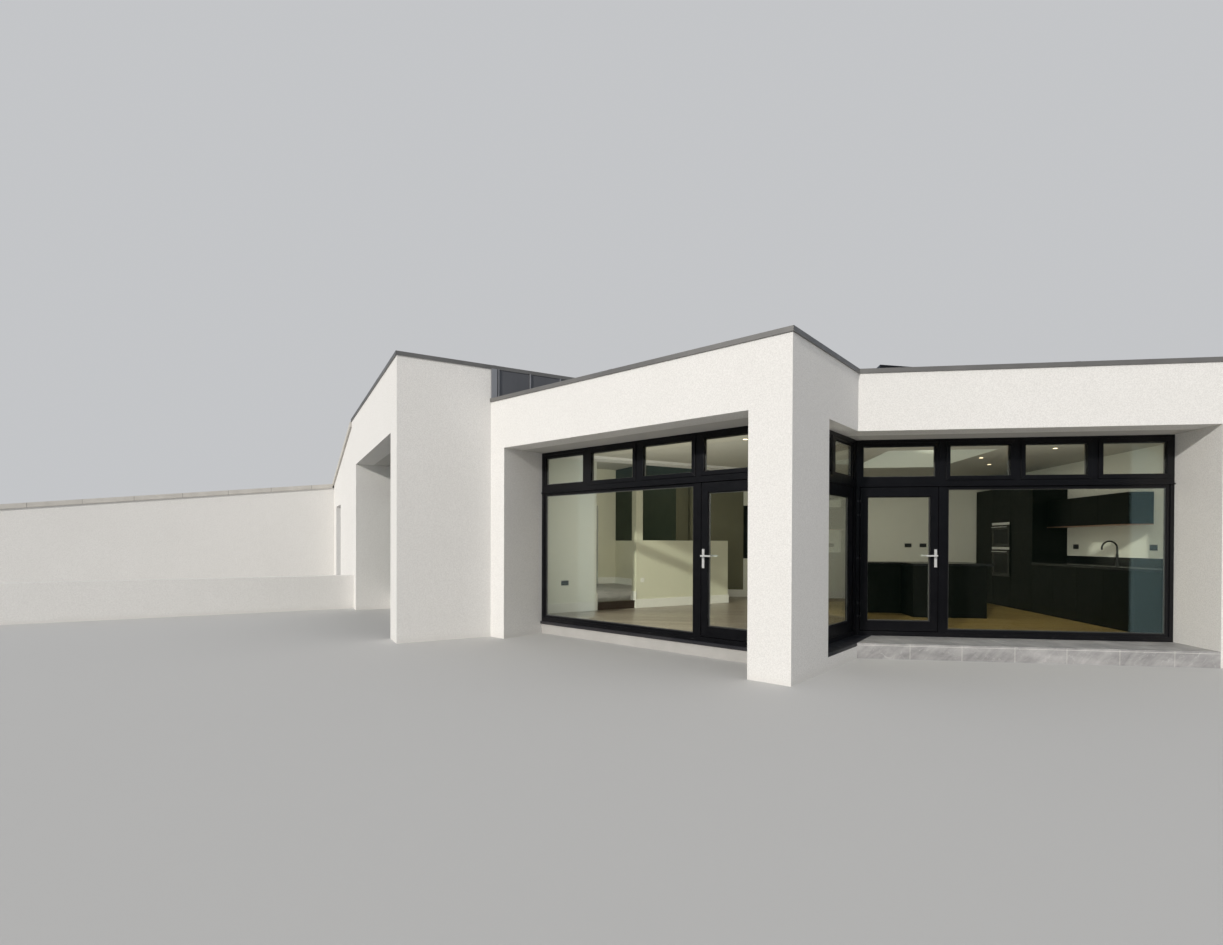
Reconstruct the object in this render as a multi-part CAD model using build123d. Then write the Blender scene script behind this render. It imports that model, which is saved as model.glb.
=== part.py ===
from build123d import *
import os
from math import cos, radians, sin

# Single-storey detached house in three angled blocks, millimetres, +Z up.
# The origin is the centre of the foot of the pier at the front corner.
# X runs along the kitchen front to the right, Y runs into the house.

# Plan
main_turn = 32.8          # the main front turns back from the kitchen front, degrees
tall_turn = 37.2          # the tall front turns forward from the kitchen front, degrees
main_front = 4896         # length of the main front, from the tall block to the front corner
main_return = 2005        # front corner to the kitchen front
kitchen_front = 5137      # inner corner to the right end of the house
house_depth = 6715        # kitchen front to the back of the house
tall_step = 1397          # part of the tall front that stands clear of the main front
tall_front = 5577         # length of the loggia side
tall_depth = 7000         # depth of the tall block behind the loggia side
wall = 350                # outer walls

# Levels above the lowest ground
slab_top = 155
floor_top = 195
soffit = 2905
soffit_board = 45
roof_depth = 430
parapet_upstand = 260     # parapet above the roof
loggia_sill = 300
loggia_rise = 213         # loggia head above the other recesses
tall_rise = 518           # tall block above the main parapet
tall_upstand = 298
tall_roof_depth = 410

# Recesses and piers
recess_depth = 780        # terrace and loggia glazing behind the wall face
kitchen_recess = 713
return_recess = 244
corner_pier_width = 497
corner_pier_length = 1014
left_pier_width = 321
kitchen_opening = 4137    # inner corner to the kitchen pier
loggia_near_pier = 514
loggia_far_pier = 778

# Parapet caps and cladding
cap_height = 56
cap_overhang = 18
cap_joint = 4
panel_thickness = 8
seam_pitch = 526
seam_first = 110          # from the inner corner to the first seam
seam_width = 14
seam_height = 25
trim_width = 90

# Glazing
frame_depth = 80
frame_face = 45
sash_face = 42
sash_setback = 8
bead_face = 35
bead_setback = 14
glass_thickness = 28
glass_setback = 26
toplight_height = 560     # from the head of a screen down to its transom
transom_height = 90
bottom_rail = 60
weather_bar = 22
weather_bar_height = 16
cill_height = 40
cill_projection = 30
terrace_door_bay = 1122
kitchen_door_bay = 1125
corner_post = 67
return_stile = 150        # bars of the corner window's lower light
step_notch = 200          # where the corner cill ends, from the corner post along the kitchen screen
toplights = 3

# Doors
leaf_depth = 60
leaf_gap = 9
stile = 95
top_rail = 125
kick_rail = 132
stop_width = 17
stop_depth = 14
hinge_levels = (473, 654, 1280, 1879, 2073)
hinge_offset = 10
knuckle_radius = 8
knuckle_height = 26
knuckle_gap = 0.3
flag_length = 44
flag_thickness = 3

# Door furniture
spindle_level = 1304
backset = 31
plate_width = 34
plate_height = 246
plate_low = 1146
plate_thickness = 8
spindle_radius = 7
neck_radius = 9
neck_length = 46
spindle_clearance = 0.3
grip_length = 150
grip_height = 20
grip_depth = 14

# Garden walls
raking_length = 4385      # end of the tall block to the corner of the garden wall
raking_low = 3010         # wall top at the corner, under its coping
passage_start = 2500
passage_width = 1205
passage_head = 2430
garden_wall_thickness = 250
garden_wall_length = 7580
garden_low = 2120         # wall top at the far end
coping_height = 112
coping_overhang = 40
coping_length = 995
coping_first = 585
coping_joint = 8
low_wall_setback = 377    # from the far end of the loggia side
low_wall_length = 7580
low_wall_thickness = 240
low_wall_top = 725

# Inside
inner_wall = 160
inner_setback = 850       # inner wall behind the line of the tall front
stub_end = 2323           # end of the full-height wall, from the tall block's inner corner
half_wall_start = 3196    # start of the half-height wall, from the same corner
half_wall_length = 2297   # with its post
half_wall_top = 1510
half_wall_post = 150
end_opening = 2400        # opening through the tall block's end wall, from its front line

# Kitchen
unit_depth = 600
unit_gap = 4
worktop_top = 1125
worktop_thickness = 40
worktop_lip = 20
upstand_top = 1255
upstand_thickness = 20
base_setback = 60         # from the kitchen screen's inner face to the first unit
base_units = 5
fridge_unit_width = 775
oven_unit_width = 700
larder_unit_width = 740
end_filler = 50           # from the last tall unit to the back wall
tall_unit_top = 2607
tall_unit_joint = 1690    # joint between the lower and upper fronts
front_groove = 22
cupboard_depth = 350
cupboard_width = 697
cupboards = 3
cupboard_low = 1780
cupboard_top = 2262
oven_width = 690
oven_height = 596
upper_oven_height = 493
oven_low = 803
oven_gap = 8
oven_proud = 18
tap_x = 176               # from the wall
tap_y = 1585              # from the tall units
tap_radius = 13
tap_body_radius = 19
tap_body_height = 190
tap_height = 390
tap_reach = 222

# Kitchen island, its wing set back beside it
island_x = 1690
island_length = 1190
island_y = 2930
island_width = 1000
island_units = 2
island_wing_length = 740
island_wing_setback = 590
island_overhang = 110     # of the worktop at the right end

# Rooflight on the kitchen roof
rooflight_x = 1000        # its opening, from the inner corner
rooflight_y = 2050
rooflight_length = 1630
rooflight_width = 2270
rooflight_kerb = 190
rooflight_height = 860    # of the kerb's high side, above the roof
rooflight_fall = 225
rooflight_glass = 30

# Windows of the unseen sides
back_window_sill = 1095
back_window_head = 2345
back_window_width = 1800
back_window_setback = 90
back_window_x = -900      # from the inner corner at the kitchen front, along X
side_window_x = 1500      # along the tall block, from the loggia side
garden_window_x = 4300
garden_window_head = 2450
flat_cill = 25


def direction(degrees):
    return Vector(cos(radians(degrees)), sin(radians(degrees)), 0)


# Levels that follow from the soffit
roof_under = soffit + soffit_board
roof_top = roof_under + roof_depth
parapet_top = roof_top + parapet_upstand
loggia_head = soffit + loggia_rise
tall_top = parapet_top + tall_rise
tall_roof_top = tall_top - tall_upstand
tall_roof_under = tall_roof_top - tall_roof_depth

# Each block has its own plan: x along its front, y into the house
main_along = direction(-main_turn)
main_inward = direction(90 - main_turn)
tall_along = direction(tall_turn)
corner = -main_inward * (corner_pier_length / 2) + main_along * (corner_pier_width / 2)
main = Plane(origin=corner - main_along * main_front, x_dir=main_along, z_dir=(0, 0, 1))
kitchen = Plane(origin=corner + main_inward * main_return, x_dir=(1, 0, 0), z_dir=(0, 0, 1))
tall = Plane(origin=main.origin - tall_along * tall_step, x_dir=tall_along, z_dir=(0, 0, 1))


# A box between two x, two y and two z values of a block's plan
def block(plan, x, y, z):
    size = Box(x[1] - x[0], y[1] - y[0], z[1] - z[0], align=(Align.MIN, Align.MIN, Align.MIN))
    return plan * Pos(x[0], y[0], z[0]) * size


# An upright prism on a plan outline
def prism(points, z):
    outline = Polyline(*[(p.X, p.Y, z[0]) for p in points], close=True)
    return extrude(make_face(outline), amount=z[1] - z[0], dir=(0, 0, 1))


def at(plan, x, y):
    return plan.from_local_coords(Vector(x, y, 0))


# The plan point where two lines cross
def meet(point_a, along_a, point_b, along_b):
    gap = point_b - point_a
    turn = along_a.X * along_b.Y - along_a.Y * along_b.X
    step = (gap.X * along_b.Y - gap.Y * along_b.X) / turn
    return point_a + along_a * step


def save(node, shape):
    shape.label = node
    export_step(shape, f"parts/{node}.step")


def group(shapes):
    return Compound(children=list(shapes))


def cut(shape, tools):
    for tool in tools:
        shape = shape - tool
    return shape


inner_front = kitchen_front - wall
inner_back = house_depth - wall
tall_inner = tall_depth - wall
tall_volume = block(tall, (0, tall_depth), (0, tall_front), (0, tall_top))


# Where the return's line and the kitchen front's line cross, each moved inwards
def inner_corner(setback_main, setback_kitchen):
    return meet(at(main, main_front - setback_main, 0), main_inward,
                at(kitchen, 0, setback_kitchen), Vector(1, 0, 0))


# A point on the back wall's line that lies within the tall block's end wall
def back_left(setback):
    return meet(at(kitchen, 0, house_depth - setback), Vector(1, 0, 0),
                at(tall, tall_depth - wall / 2, 0), direction(90 + tall_turn))


# Piers and fascias round the two glazed recesses of the front
def front_walls():
    main_fascia = block(main, (0, main_front), (0, wall), (soffit, parapet_top))
    left_pier = block(main, (0, left_pier_width), (0, recess_depth + frame_depth), (0, soffit))
    return {
        "main_fascia": main_fascia - tall_volume,
        "left_pier": left_pier - tall_volume,
        "corner_pier": block(main, (main_front - corner_pier_width, main_front),
                             (0, corner_pier_length), (0, soffit)),
        "return_fascia": prism([at(main, main_front, wall), at(main, main_front, main_return),
                                inner_corner(wall, wall), at(main, main_front - wall, wall)],
                               (soffit, parapet_top)),
        "kitchen_fascia": prism([at(kitchen, 0, 0), at(kitchen, inner_front, 0),
                                 at(kitchen, inner_front, wall), inner_corner(wall, wall)],
                                (soffit, parapet_top)),
        "kitchen_pier": block(kitchen, (kitchen_opening, inner_front),
                              (0, kitchen_recess + frame_depth), (0, soffit)),
    }


# Start and levels of the two windows in the tall block's rear wall; one stands on the floor
rear_windows = ((side_window_x, (back_window_sill, back_window_head)),
                (garden_window_x, (floor_top, garden_window_head)))


# Walls of the sides that run full height
def outer_walls():
    side = block(kitchen, (inner_front, kitchen_front), (0, house_depth), (0, parapet_top))
    back = prism([back_left(0), at(kitchen, inner_front, house_depth),
                  at(kitchen, inner_front, inner_back), back_left(wall)], (0, parapet_top))
    back = cut(back, [tall_volume,
                      block(kitchen, (back_window_x, back_window_x + back_window_width),
                            (inner_back, house_depth), (back_window_sill, back_window_head))])
    rear = block(tall, (0, tall_depth), (tall_front - wall, tall_front), (0, tall_top))
    rear = cut(rear, [block(tall, (x, x + back_window_width), (tall_front - wall, tall_front), z)
                      for x, z in rear_windows])
    end = block(tall, (tall_inner, tall_depth), (0, tall_front - wall), (0, tall_top))
    return {
        "side_wall": side,
        "back_wall": back,
        "tall_rear_wall": rear,
        "tall_end_wall": end - block(tall, (tall_inner, tall_depth), (0, end_opening), (0, soffit)),
        "tall_front_wall": block(tall, (0, tall_step + wall), (0, wall), (0, tall_top)),
        "clerestory_wall": block(tall, (tall_step + wall, tall_inner), (0, wall), (soffit, tall_top)),
    }


# Piers and fascia round the recess in the tall block's loggia side
def loggia():
    deep = recess_depth + frame_depth
    near = block(tall, (0, deep), (wall, loggia_near_pier), (0, loggia_head))
    far = block(tall, (0, deep), (tall_front - loggia_far_pier, tall_front - wall), (0, loggia_head))
    return {
        "loggia_piers": group([near, far]),
        "loggia_fascia": block(tall, (0, wall), (wall, tall_front - wall), (loggia_head, tall_top)),
        "loggia_plinth": block(tall, (recess_depth, recess_depth + wall),
                               (loggia_near_pier, tall_front - loggia_far_pier), (0, loggia_sill)),
    }


# Boards under the roof edge, from each fascia back to the glazing's inner face
def soffits():
    deep = recess_depth + frame_depth
    kitchen_deep = kitchen_recess + frame_depth
    over_terrace = block(main, (0, main_front - wall), (wall, deep), (soffit, roof_under)) - tall_volume
    over_kitchen = prism([inner_corner(wall, wall), at(kitchen, inner_front, wall),
                          at(kitchen, inner_front, kitchen_deep),
                          inner_corner(wall, kitchen_deep)], (soffit, roof_under))
    over_loggia = block(tall, (wall, deep), (wall, tall_front - wall), (loggia_head, tall_roof_under))
    return {"recess_soffits": group([over_terrace, over_kitchen, over_loggia])}


# Outline of the main rooms on the line that lies so far behind the glazing's outer face
def room_outline(behind):
    return [at(main, 0, recess_depth + behind),
            at(main, main_front - corner_pier_width, recess_depth + behind),
            at(main, main_front - corner_pier_width, corner_pier_length),
            at(main, main_front - return_recess - behind, corner_pier_length),
            inner_corner(return_recess + behind, kitchen_recess + behind),
            at(kitchen, inner_front, kitchen_recess + behind),
            at(kitchen, inner_front, inner_back),
            back_left(wall)]


# The ground slab carries the glazing at its edge; the boards lie inside the glazing
def floors(walls):
    shapes = {}
    for node, behind, levels in (("floor_slab", 0, (0, slab_top)),
                                 ("timber_floor", frame_depth, (slab_top, floor_top))):
        rooms = prism(room_outline(behind), levels)
        hall = block(tall, (recess_depth + wall, tall_inner), (wall, tall_front - wall), levels)
        doorway = block(tall, (tall_step + wall, tall_inner), (0, wall), levels)
        passage = block(tall, (tall_inner, tall_depth), (0, end_opening), levels)
        shapes[node] = cut(rooms - tall_volume + hall + doorway + passage, walls)
    return shapes


def roofs():
    over_rooms = prism([at(main, 0, wall), at(main, main_front - wall, wall), inner_corner(wall, wall),
                        at(kitchen, inner_front, wall), at(kitchen, inner_front, inner_back),
                        back_left(wall)], (roof_under, roof_top))
    return {
        "main_roof": over_rooms - tall_volume,
        "tall_roof": block(tall, (wall, tall_inner), (wall, tall_front - wall),
                           (tall_roof_under, tall_roof_top)),
    }


# One length of pressed metal cap over a wall, between two cutting directions
def cap_run(start, end, start_cut, end_cut, levels):
    along = (end - start).normalized()
    outward = Vector(along.Y, -along.X, 0)
    outer = start + outward * cap_overhang
    inner = start - outward * (wall + cap_overhang)
    half = along * (cap_joint / 2)
    points = [meet(outer, along, start + half, start_cut), meet(outer, along, end - half, end_cut),
              meet(inner, along, end - half, end_cut), meet(inner, along, start + half, start_cut)]
    return prism(points, levels)


# The direction of the joint between two cap runs that meet at a corner
def mitre(before, point, after):
    along = (after - point).normalized() - (before - point).normalized()
    return Vector(-along.Y, along.X, 0)


# Caps of both parapets, mitred at the corners with open joints
def caps():
    main_line = [at(main, 0, 0), at(main, main_front, 0), at(kitchen, 0, 0), at(kitchen, kitchen_front, 0),
                 at(kitchen, kitchen_front, house_depth),
                 meet(at(kitchen, 0, house_depth), Vector(1, 0, 0), at(tall, tall_depth, 0),
                      direction(90 + tall_turn))]
    cuts = [mitre(main_line[i - 1], main_line[i], main_line[i + 1]) for i in range(1, len(main_line) - 1)]
    cuts = [tall_along] + cuts + [direction(90 + tall_turn)]
    levels = (parapet_top, parapet_top + cap_height)
    main_runs = [cap_run(main_line[i], main_line[i + 1], cuts[i], cuts[i + 1], levels)
                 for i in range(len(main_line) - 1)]
    tall_line = [at(tall, 0, 0), at(tall, tall_depth, 0), at(tall, tall_depth, tall_front),
                 at(tall, 0, tall_front)]
    tall_levels = (tall_top, tall_top + cap_height)
    tall_runs = []
    for i, point in enumerate(tall_line):
        after = tall_line[(i + 1) % 4]
        tall_runs.append(cap_run(point, after, mitre(tall_line[i - 1], point, after),
                                 mitre(point, after, tall_line[(i + 2) % 4]), tall_levels))
    return {"main_cap": group(main_runs), "tall_cap": group(tall_runs)}


# Standing-seam zinc on the tall front above the main roof, notched over the main front's parapet
def cladding():
    z = (roof_top, tall_top)
    seam_y = (-panel_thickness - seam_height, -panel_thickness)
    panel = block(tall, (tall_step, tall_depth), (-panel_thickness, 0), z)
    ribs = [block(tall, (tall_step, tall_step + trim_width), seam_y, z)]
    x = tall_step + seam_first
    while x < tall_depth:
        ribs.append(block(tall, (x, x + seam_width), seam_y, z))
        x += seam_pitch
    reach = cap_overhang + cap_joint
    parapet = block(main, (-wall, wall * 2), (-reach, wall + reach),
                    (soffit, parapet_top + cap_height + cap_joint))
    return {"zinc_cladding": (panel + ribs) - parapet}


# A rectangular frame of bars: left, right, bottom and top widths
def bars(plan, x, y, z, edges):
    left, right, bottom, top = edges
    hole = block(plan, (x[0] + left, x[1] - right), y, (z[0] + bottom, z[1] - top))
    return block(plan, x, y, z) - hole


# A sealed glass unit within its bars
def pane(plan, x, y, z):
    return block(plan, x, (y + glass_setback, y + glass_setback + glass_thickness), z)


# One glazed light: its bars, a little behind the frame's face, and its glass
def light(plan, x, y, z, face, setback):
    edges = (face, face, face, face)
    depth = (y + setback, y + frame_depth - setback)
    glass = pane(plan, (x[0] + face, x[1] - face), y, (z[0] + face, z[1] - face))
    return bars(plan, x, depth, z, edges), glass


# A glazed screen: opening toplights over one fixed light and, at one side, a doorway
def screen(plan, x, y, z, door_bay, door_side):
    post = frame_face * 2
    if door_side == "right":
        fixed, bay = (x[0], x[1] - door_bay), (x[1] - door_bay, x[1])
    elif door_side == "left":
        fixed, bay = (x[0] + door_bay, x[1]), (x[0], x[0] + door_bay)
    else:
        fixed, bay = x, None
    depth = (y, y + frame_depth)
    transom = (z[1] - toplight_height - transom_height, z[1] - toplight_height)
    parts = [block(plan, x, depth, (z[1] - frame_face, z[1])),
             block(plan, x, depth, transom),
             block(plan, x, depth, (z[0], z[0] + bottom_rail)),
             block(plan, (x[0], x[0] + frame_face), depth, z),
             block(plan, (x[1] - frame_face, x[1]), depth, z)]
    upper = (transom[1], z[1] - frame_face)
    lower = (z[0] + bottom_rail, transom[0])
    width = (fixed[1] - fixed[0]) / toplights
    stops = [fixed[0] + width * i for i in range(toplights + 1)]
    glass = []
    if bay:
        joint = bay[0] if door_side == "right" else bay[1]
        parts.append(block(plan, (joint - frame_face, joint + frame_face), depth, z))
        stops = sorted(set(stops + [bay[0], bay[1]]))
    for stop in stops[1:-1]:
        parts.append(block(plan, (stop - frame_face, stop + frame_face), depth, upper))
    for left, right in zip(stops, stops[1:]):
        ends = (left + frame_face, right - frame_face)
        frame, sheet = light(plan, ends, y, upper, sash_face, sash_setback)
        parts.append(frame)
        glass.append(sheet)
    frame, sheet = light(plan, (fixed[0] + frame_face, fixed[1] - frame_face), y, lower,
                         bead_face, bead_setback)
    parts.append(frame)
    glass.append(sheet)
    parts.append(block(plan, x, (y - weather_bar, y), (transom[0], transom[0] + weather_bar_height)))
    if bay:
        inside = (bay[0] + frame_face, bay[1] - frame_face)
        stop_y = (y + frame_depth - stop_depth, y + frame_depth)
        parts.append(bars(plan, inside, stop_y, lower, (stop_width,) * 4))
    return parts[0] + parts[1:], glass


# A glazed leaf that opens outwards, hinged at its left or right edge
def door(plan, x, y, z, hinge_side):
    leaf_x = (x[0] + leaf_gap, x[1] - leaf_gap)
    leaf_z = (z[0] + leaf_gap, z[1] - leaf_gap)
    leaf = bars(plan, leaf_x, (y, y + leaf_depth), leaf_z, (stile, stile, kick_rail, top_rail))
    glass = pane(plan, (leaf_x[0] + stile, leaf_x[1] - stile), y,
                 (leaf_z[0] + kick_rail, leaf_z[1] - top_rail))
    hinge = leaf_x[0] if hinge_side == "left" else leaf_x[1]
    towards = 1 if hinge_side == "left" else -1
    pivot = hinge - towards * leaf_gap / 2
    lock = (leaf_x[1] if hinge_side == "left" else leaf_x[0]) - towards * backset
    bore = spindle(plan, lock, (y, y + leaf_depth), spindle_radius + spindle_clearance)
    flags = [knuckle(plan, pivot, y, level, towards, 1) for level in hinge_levels]
    fixed_flags = [knuckle(plan, pivot, y, level, -towards, -1) for level in hinge_levels]
    return {
        "door": (leaf - bore) + flags,
        "door_glass": glass,
        "door_lever": lever(plan, lock, y, towards),
        "door_plates": plates(plan, lock, y),
        "hinges": group(fixed_flags),
    }


# A round bar across the door's thickness
def spindle(plan, x, y, radius):
    bar = Cylinder(radius, y[1] - y[0], align=(Align.CENTER, Align.CENTER, Align.MIN))
    return plan * Pos(x, y[0], spindle_level) * Rot(-90, 0, 0) * bar


# Half of a flag hinge: its knuckle and its flat flag, above or below the hinge's middle
def knuckle(plan, pivot, y, level, towards, above):
    half = knuckle_gap / 2
    low = level + half if above > 0 else level - half - knuckle_height
    barrel = Cylinder(knuckle_radius, knuckle_height, align=(Align.CENTER, Align.CENTER, Align.MIN))
    ends = sorted((pivot, pivot + towards * flag_length))
    flag = block(plan, ends, (y - flag_thickness, y), (low, low + knuckle_height))
    return plan * Pos(pivot, y - hinge_offset, low) * barrel + flag


# A lever on each face of the leaf, joined by the spindle
def lever(plan, x, y, towards):
    reach = neck_length + grip_depth
    outer_y = y - plate_thickness - reach
    inner_y = y + leaf_depth + plate_thickness + neck_length
    bar = spindle(plan, x, (y - plate_thickness, y + leaf_depth + plate_thickness), spindle_radius)
    necks = [spindle(plan, x, (y - plate_thickness - neck_length, y - spindle_clearance), neck_radius),
             spindle(plan, x, (y + leaf_depth + spindle_clearance, inner_y), neck_radius)]
    shift = towards * (-1) * (grip_length / 2 - neck_radius)
    profile = RectangleRounded(grip_length, grip_height, grip_height * 0.45)
    grip = extrude(profile, grip_depth)
    grips = [plan * Pos(x + shift, face_y, spindle_level) * Rot(-90, 0, 0) * grip
             for face_y in (outer_y, inner_y)]
    return bar + necks + grips


# The long plate behind each lever, bored for its neck
def plates(plan, x, y):
    half = plate_width / 2
    sheets = []
    for low in (y - plate_thickness, y + leaf_depth):
        depth = (low, low + plate_thickness)
        sheet = block(plan, (x - half, x + half), depth, (plate_low, plate_low + plate_height))
        sheets.append(sheet - spindle(plan, x, depth, neck_radius + spindle_clearance))
    return group(sheets)


terrace_x = (left_pier_width, main_front - corner_pier_width)
glass_corner = inner_corner(return_recess, kitchen_recess)
kitchen_x = (kitchen.to_local_coords(glass_corner).X, kitchen_opening)
window_z = (floor_top, soffit)
front_transom = (soffit - toplight_height - transom_height, soffit - toplight_height)
door_z = (floor_top + bottom_rail, front_transom[0])


# Screens and doors of the two glazed recesses of the front
def glazing():
    terrace_frame, terrace_glass = screen(main, terrace_x, recess_depth, window_z, terrace_door_bay, "right")
    kitchen_frame, kitchen_glass = screen(kitchen, kitchen_x, kitchen_recess, window_z,
                                          kitchen_door_bay, "left")
    terrace_bay = (terrace_x[1] - terrace_door_bay + frame_face, terrace_x[1] - frame_face)
    kitchen_bay = (kitchen_x[0] + frame_face, kitchen_x[0] + kitchen_door_bay - frame_face)
    terrace_door = door(main, terrace_bay, recess_depth, door_z, "right")
    kitchen_door = door(kitchen, kitchen_bay, kitchen_recess, door_z, "left")
    shapes = {
        "terrace_window_frame": terrace_frame,
        "kitchen_window_frame": kitchen_frame,
        "door_hinges": group(list(terrace_door.pop("hinges").children)
                             + list(kitchen_door.pop("hinges").children)),
    }
    shapes.update({f"terrace_{node}": shape for node, shape in terrace_door.items()})
    shapes.update({f"kitchen_{node}": shape for node, shape in kitchen_door.items()})
    return shapes, terrace_glass + kitchen_glass


# The narrow window that turns the corner beside the kitchen door, and the post at the corner
def return_window():
    turned = Plane(origin=at(main, main_front - return_recess, 0), x_dir=main_inward, z_dir=(0, 0, 1))
    end = turned.to_local_coords(glass_corner).X
    x = (corner_pier_length, end)
    depth = (0, frame_depth)
    inner = (x[0] + frame_face, x[1] - corner_post - frame_face)
    wedge = prism([glass_corner, glass_corner + Vector(0, frame_depth, 0), at(turned, end, frame_depth)],
                  window_z)
    upper = (front_transom[1], window_z[1] - frame_face)
    lower = door_z
    middle = (x[0] + inner[1] + frame_face) / 2
    parts = [block(turned, x, depth, (window_z[1] - frame_face, window_z[1])),
             block(turned, x, depth, front_transom),
             block(turned, x, depth, (window_z[0], window_z[0] + bottom_rail)),
             block(turned, (x[0], inner[0]), depth, window_z),
             block(turned, (inner[1], x[1]), depth, window_z),
             block(turned, (middle - frame_face, middle + frame_face), depth, upper)]
    glass = []
    for ends, levels, face, setback in (((inner[0], middle - frame_face), upper, sash_face, sash_setback),
                                        ((middle + frame_face, inner[1]), upper, sash_face, sash_setback),
                                        (inner, lower, return_stile, bead_setback)):
        frame, sheet = light(turned, ends, 0, levels, face, setback)
        parts.append(frame)
        glass.append(sheet)
    return wedge + parts, glass


# Cills under the screens, the base wall under the corner window and the stone step
def cills():
    z = (slab_top, floor_top)
    front = recess_depth - cill_projection
    terrace = block(main, terrace_x, (front, recess_depth + frame_depth), z)
    kitchen_front_line = kitchen_recess - cill_projection
    kitchen_cill = block(kitchen, (kitchen_x[0] + step_notch, kitchen_x[1]),
                         (kitchen_front_line, kitchen_recess + frame_depth), z)
    edge = [at(main, main_front, corner_pier_length), at(main, main_front, main_return),
            at(kitchen, kitchen_x[0] + step_notch, kitchen_front_line),
            at(kitchen, kitchen_x[0] + step_notch, kitchen_recess + frame_depth),
            glass_corner + Vector(0, frame_depth, 0),
            inner_corner(return_recess + frame_depth, kitchen_recess),
            at(main, main_front - return_recess - frame_depth, corner_pier_length)]
    return_cill = prism(edge, z)
    low_edge = [at(main, main_front, corner_pier_length), at(main, main_front, main_return), glass_corner,
                at(main, main_front - return_recess, corner_pier_length)]
    step = prism([at(kitchen, 0, 0), at(kitchen, kitchen_opening, 0),
                  at(kitchen, kitchen_opening, kitchen_recess), at(kitchen, kitchen_x[0], kitchen_recess)],
                 (0, floor_top))
    return {
        "window_cills": group([terrace, kitchen_cill]),
        "return_cill": return_cill,
        "return_base_wall": prism(low_edge, (0, slab_top)),
        "door_step": cut(step, [return_cill, kitchen_cill]),
    }


# Screen of the loggia and the plain windows of the unseen sides
def other_windows():
    sideways = Plane(origin=at(tall, recess_depth, tall_front), x_dir=direction(tall_turn - 90),
                     z_dir=(0, 0, 1))
    frame, glass = screen(sideways, (loggia_far_pier, tall_front - loggia_near_pier), 0,
                          (loggia_sill, loggia_head), 0, None)
    back = Plane(origin=at(kitchen, kitchen_front, house_depth), x_dir=(-1, 0, 0), z_dir=(0, 0, 1))
    rear = Plane(origin=at(tall, tall_depth, tall_front), x_dir=-tall_along, z_dir=(0, 0, 1))
    back_start = kitchen_front - back_window_x - back_window_width
    starts = [(back, back_start, (back_window_sill, back_window_head))]
    starts += [(rear, tall_depth - x - back_window_width, z) for x, z in rear_windows]
    frames = []
    for plan, start, z in starts:
        window, sheets = two_light(plan, (start, start + back_window_width), back_window_setback, z)
        frames.append(window)
        glass += sheets
    return {"loggia_window_frame": frame, "back_window_frames": group(frames)}, glass


# A window of two equal lights on a metal cill
def two_light(plan, x, y, z):
    middle = (x[0] + x[1]) / 2
    depth = (y, y + frame_depth)
    frame = bars(plan, x, depth, z, (frame_face, frame_face, frame_face, frame_face))
    frame += block(plan, (middle - frame_face, middle + frame_face), depth,
                   (z[0] + frame_face, z[1] - frame_face))
    sheets = []
    for left, right in ((x[0] + frame_face, middle - frame_face), (middle + frame_face, x[1] - frame_face)):
        sash, sheet = light(plan, (left, right), y, (z[0] + frame_face, z[1] - frame_face),
                            sash_face, sash_setback)
        frame += sash
        sheets.append(sheet)
    frame += block(plan, x, (-cill_projection, y), (z[0], z[0] + flat_cill))
    return frame, sheets


# A raking top: the wall's side outline in its length and height, pushed through its thickness
def raking(plan, points, y):
    face = Plane(origin=at(plan, 0, y[0]), x_dir=plan.x_dir, z_dir=-plan.y_dir)
    outline = make_face(face * Polyline(*points, close=True))
    return extrude(outline, amount=y[1] - y[0], dir=plan.y_dir)


# A coping stone laid to the slope of its wall
def coping(plan, x, z, y):
    return raking(plan, [(x[0], z[0]), (x[1], z[1]), (x[1], z[1] + coping_height),
                         (x[0], z[0] + coping_height)], y)


# Garden walls in line with the loggia side and square to it, with concrete copings
def garden_walls():
    line = Plane(origin=at(tall, 0, tall_front), x_dir=direction(90 + tall_turn), z_dir=(0, 0, 1))
    thickness = (-garden_wall_thickness, 0)
    coping_y = (-garden_wall_thickness - coping_overhang, coping_overhang)
    high = tall_top - coping_height
    length = raking_length + garden_wall_thickness
    slope = (high - raking_low) / length
    end = passage_start + passage_width
    body = raking(line, [(0, 0), (passage_start, 0), (passage_start, passage_head), (end, passage_head),
                         (end, 0), (length, 0), (length, raking_low), (0, high)], thickness)
    ends = (coping_joint, length + coping_overhang)
    raking_coping = coping(line, ends, [high - slope * x for x in ends], coping_y)
    square = Plane(origin=at(line, raking_length, 0), x_dir=-tall_along, z_dir=(0, 0, 1))
    fall = (raking_low - garden_low) / garden_wall_length
    wall_body = raking(square, [(0, 0), (garden_wall_length, 0), (garden_wall_length, garden_low),
                                (0, raking_low)], thickness)
    stones = []
    start = coping_overhang
    stop = coping_first
    while start < garden_wall_length:
        stop = min(stop, garden_wall_length)
        ends = (start + coping_joint / 2, stop - coping_joint / 2)
        stones.append(coping(square, ends, [raking_low - fall * x for x in ends], coping_y))
        start, stop = stop, stop + coping_length
    low_line = Plane(origin=at(tall, 0, tall_front - low_wall_setback), x_dir=-tall_along, z_dir=(0, 0, 1))
    return {
        "raking_wall": body,
        "garden_wall": wall_body,
        "garden_copings": group([raking_coping] + stones),
        "low_wall": block(low_line, (0, low_wall_length), (-low_wall_thickness, 0), (0, low_wall_top)),
    }


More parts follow.
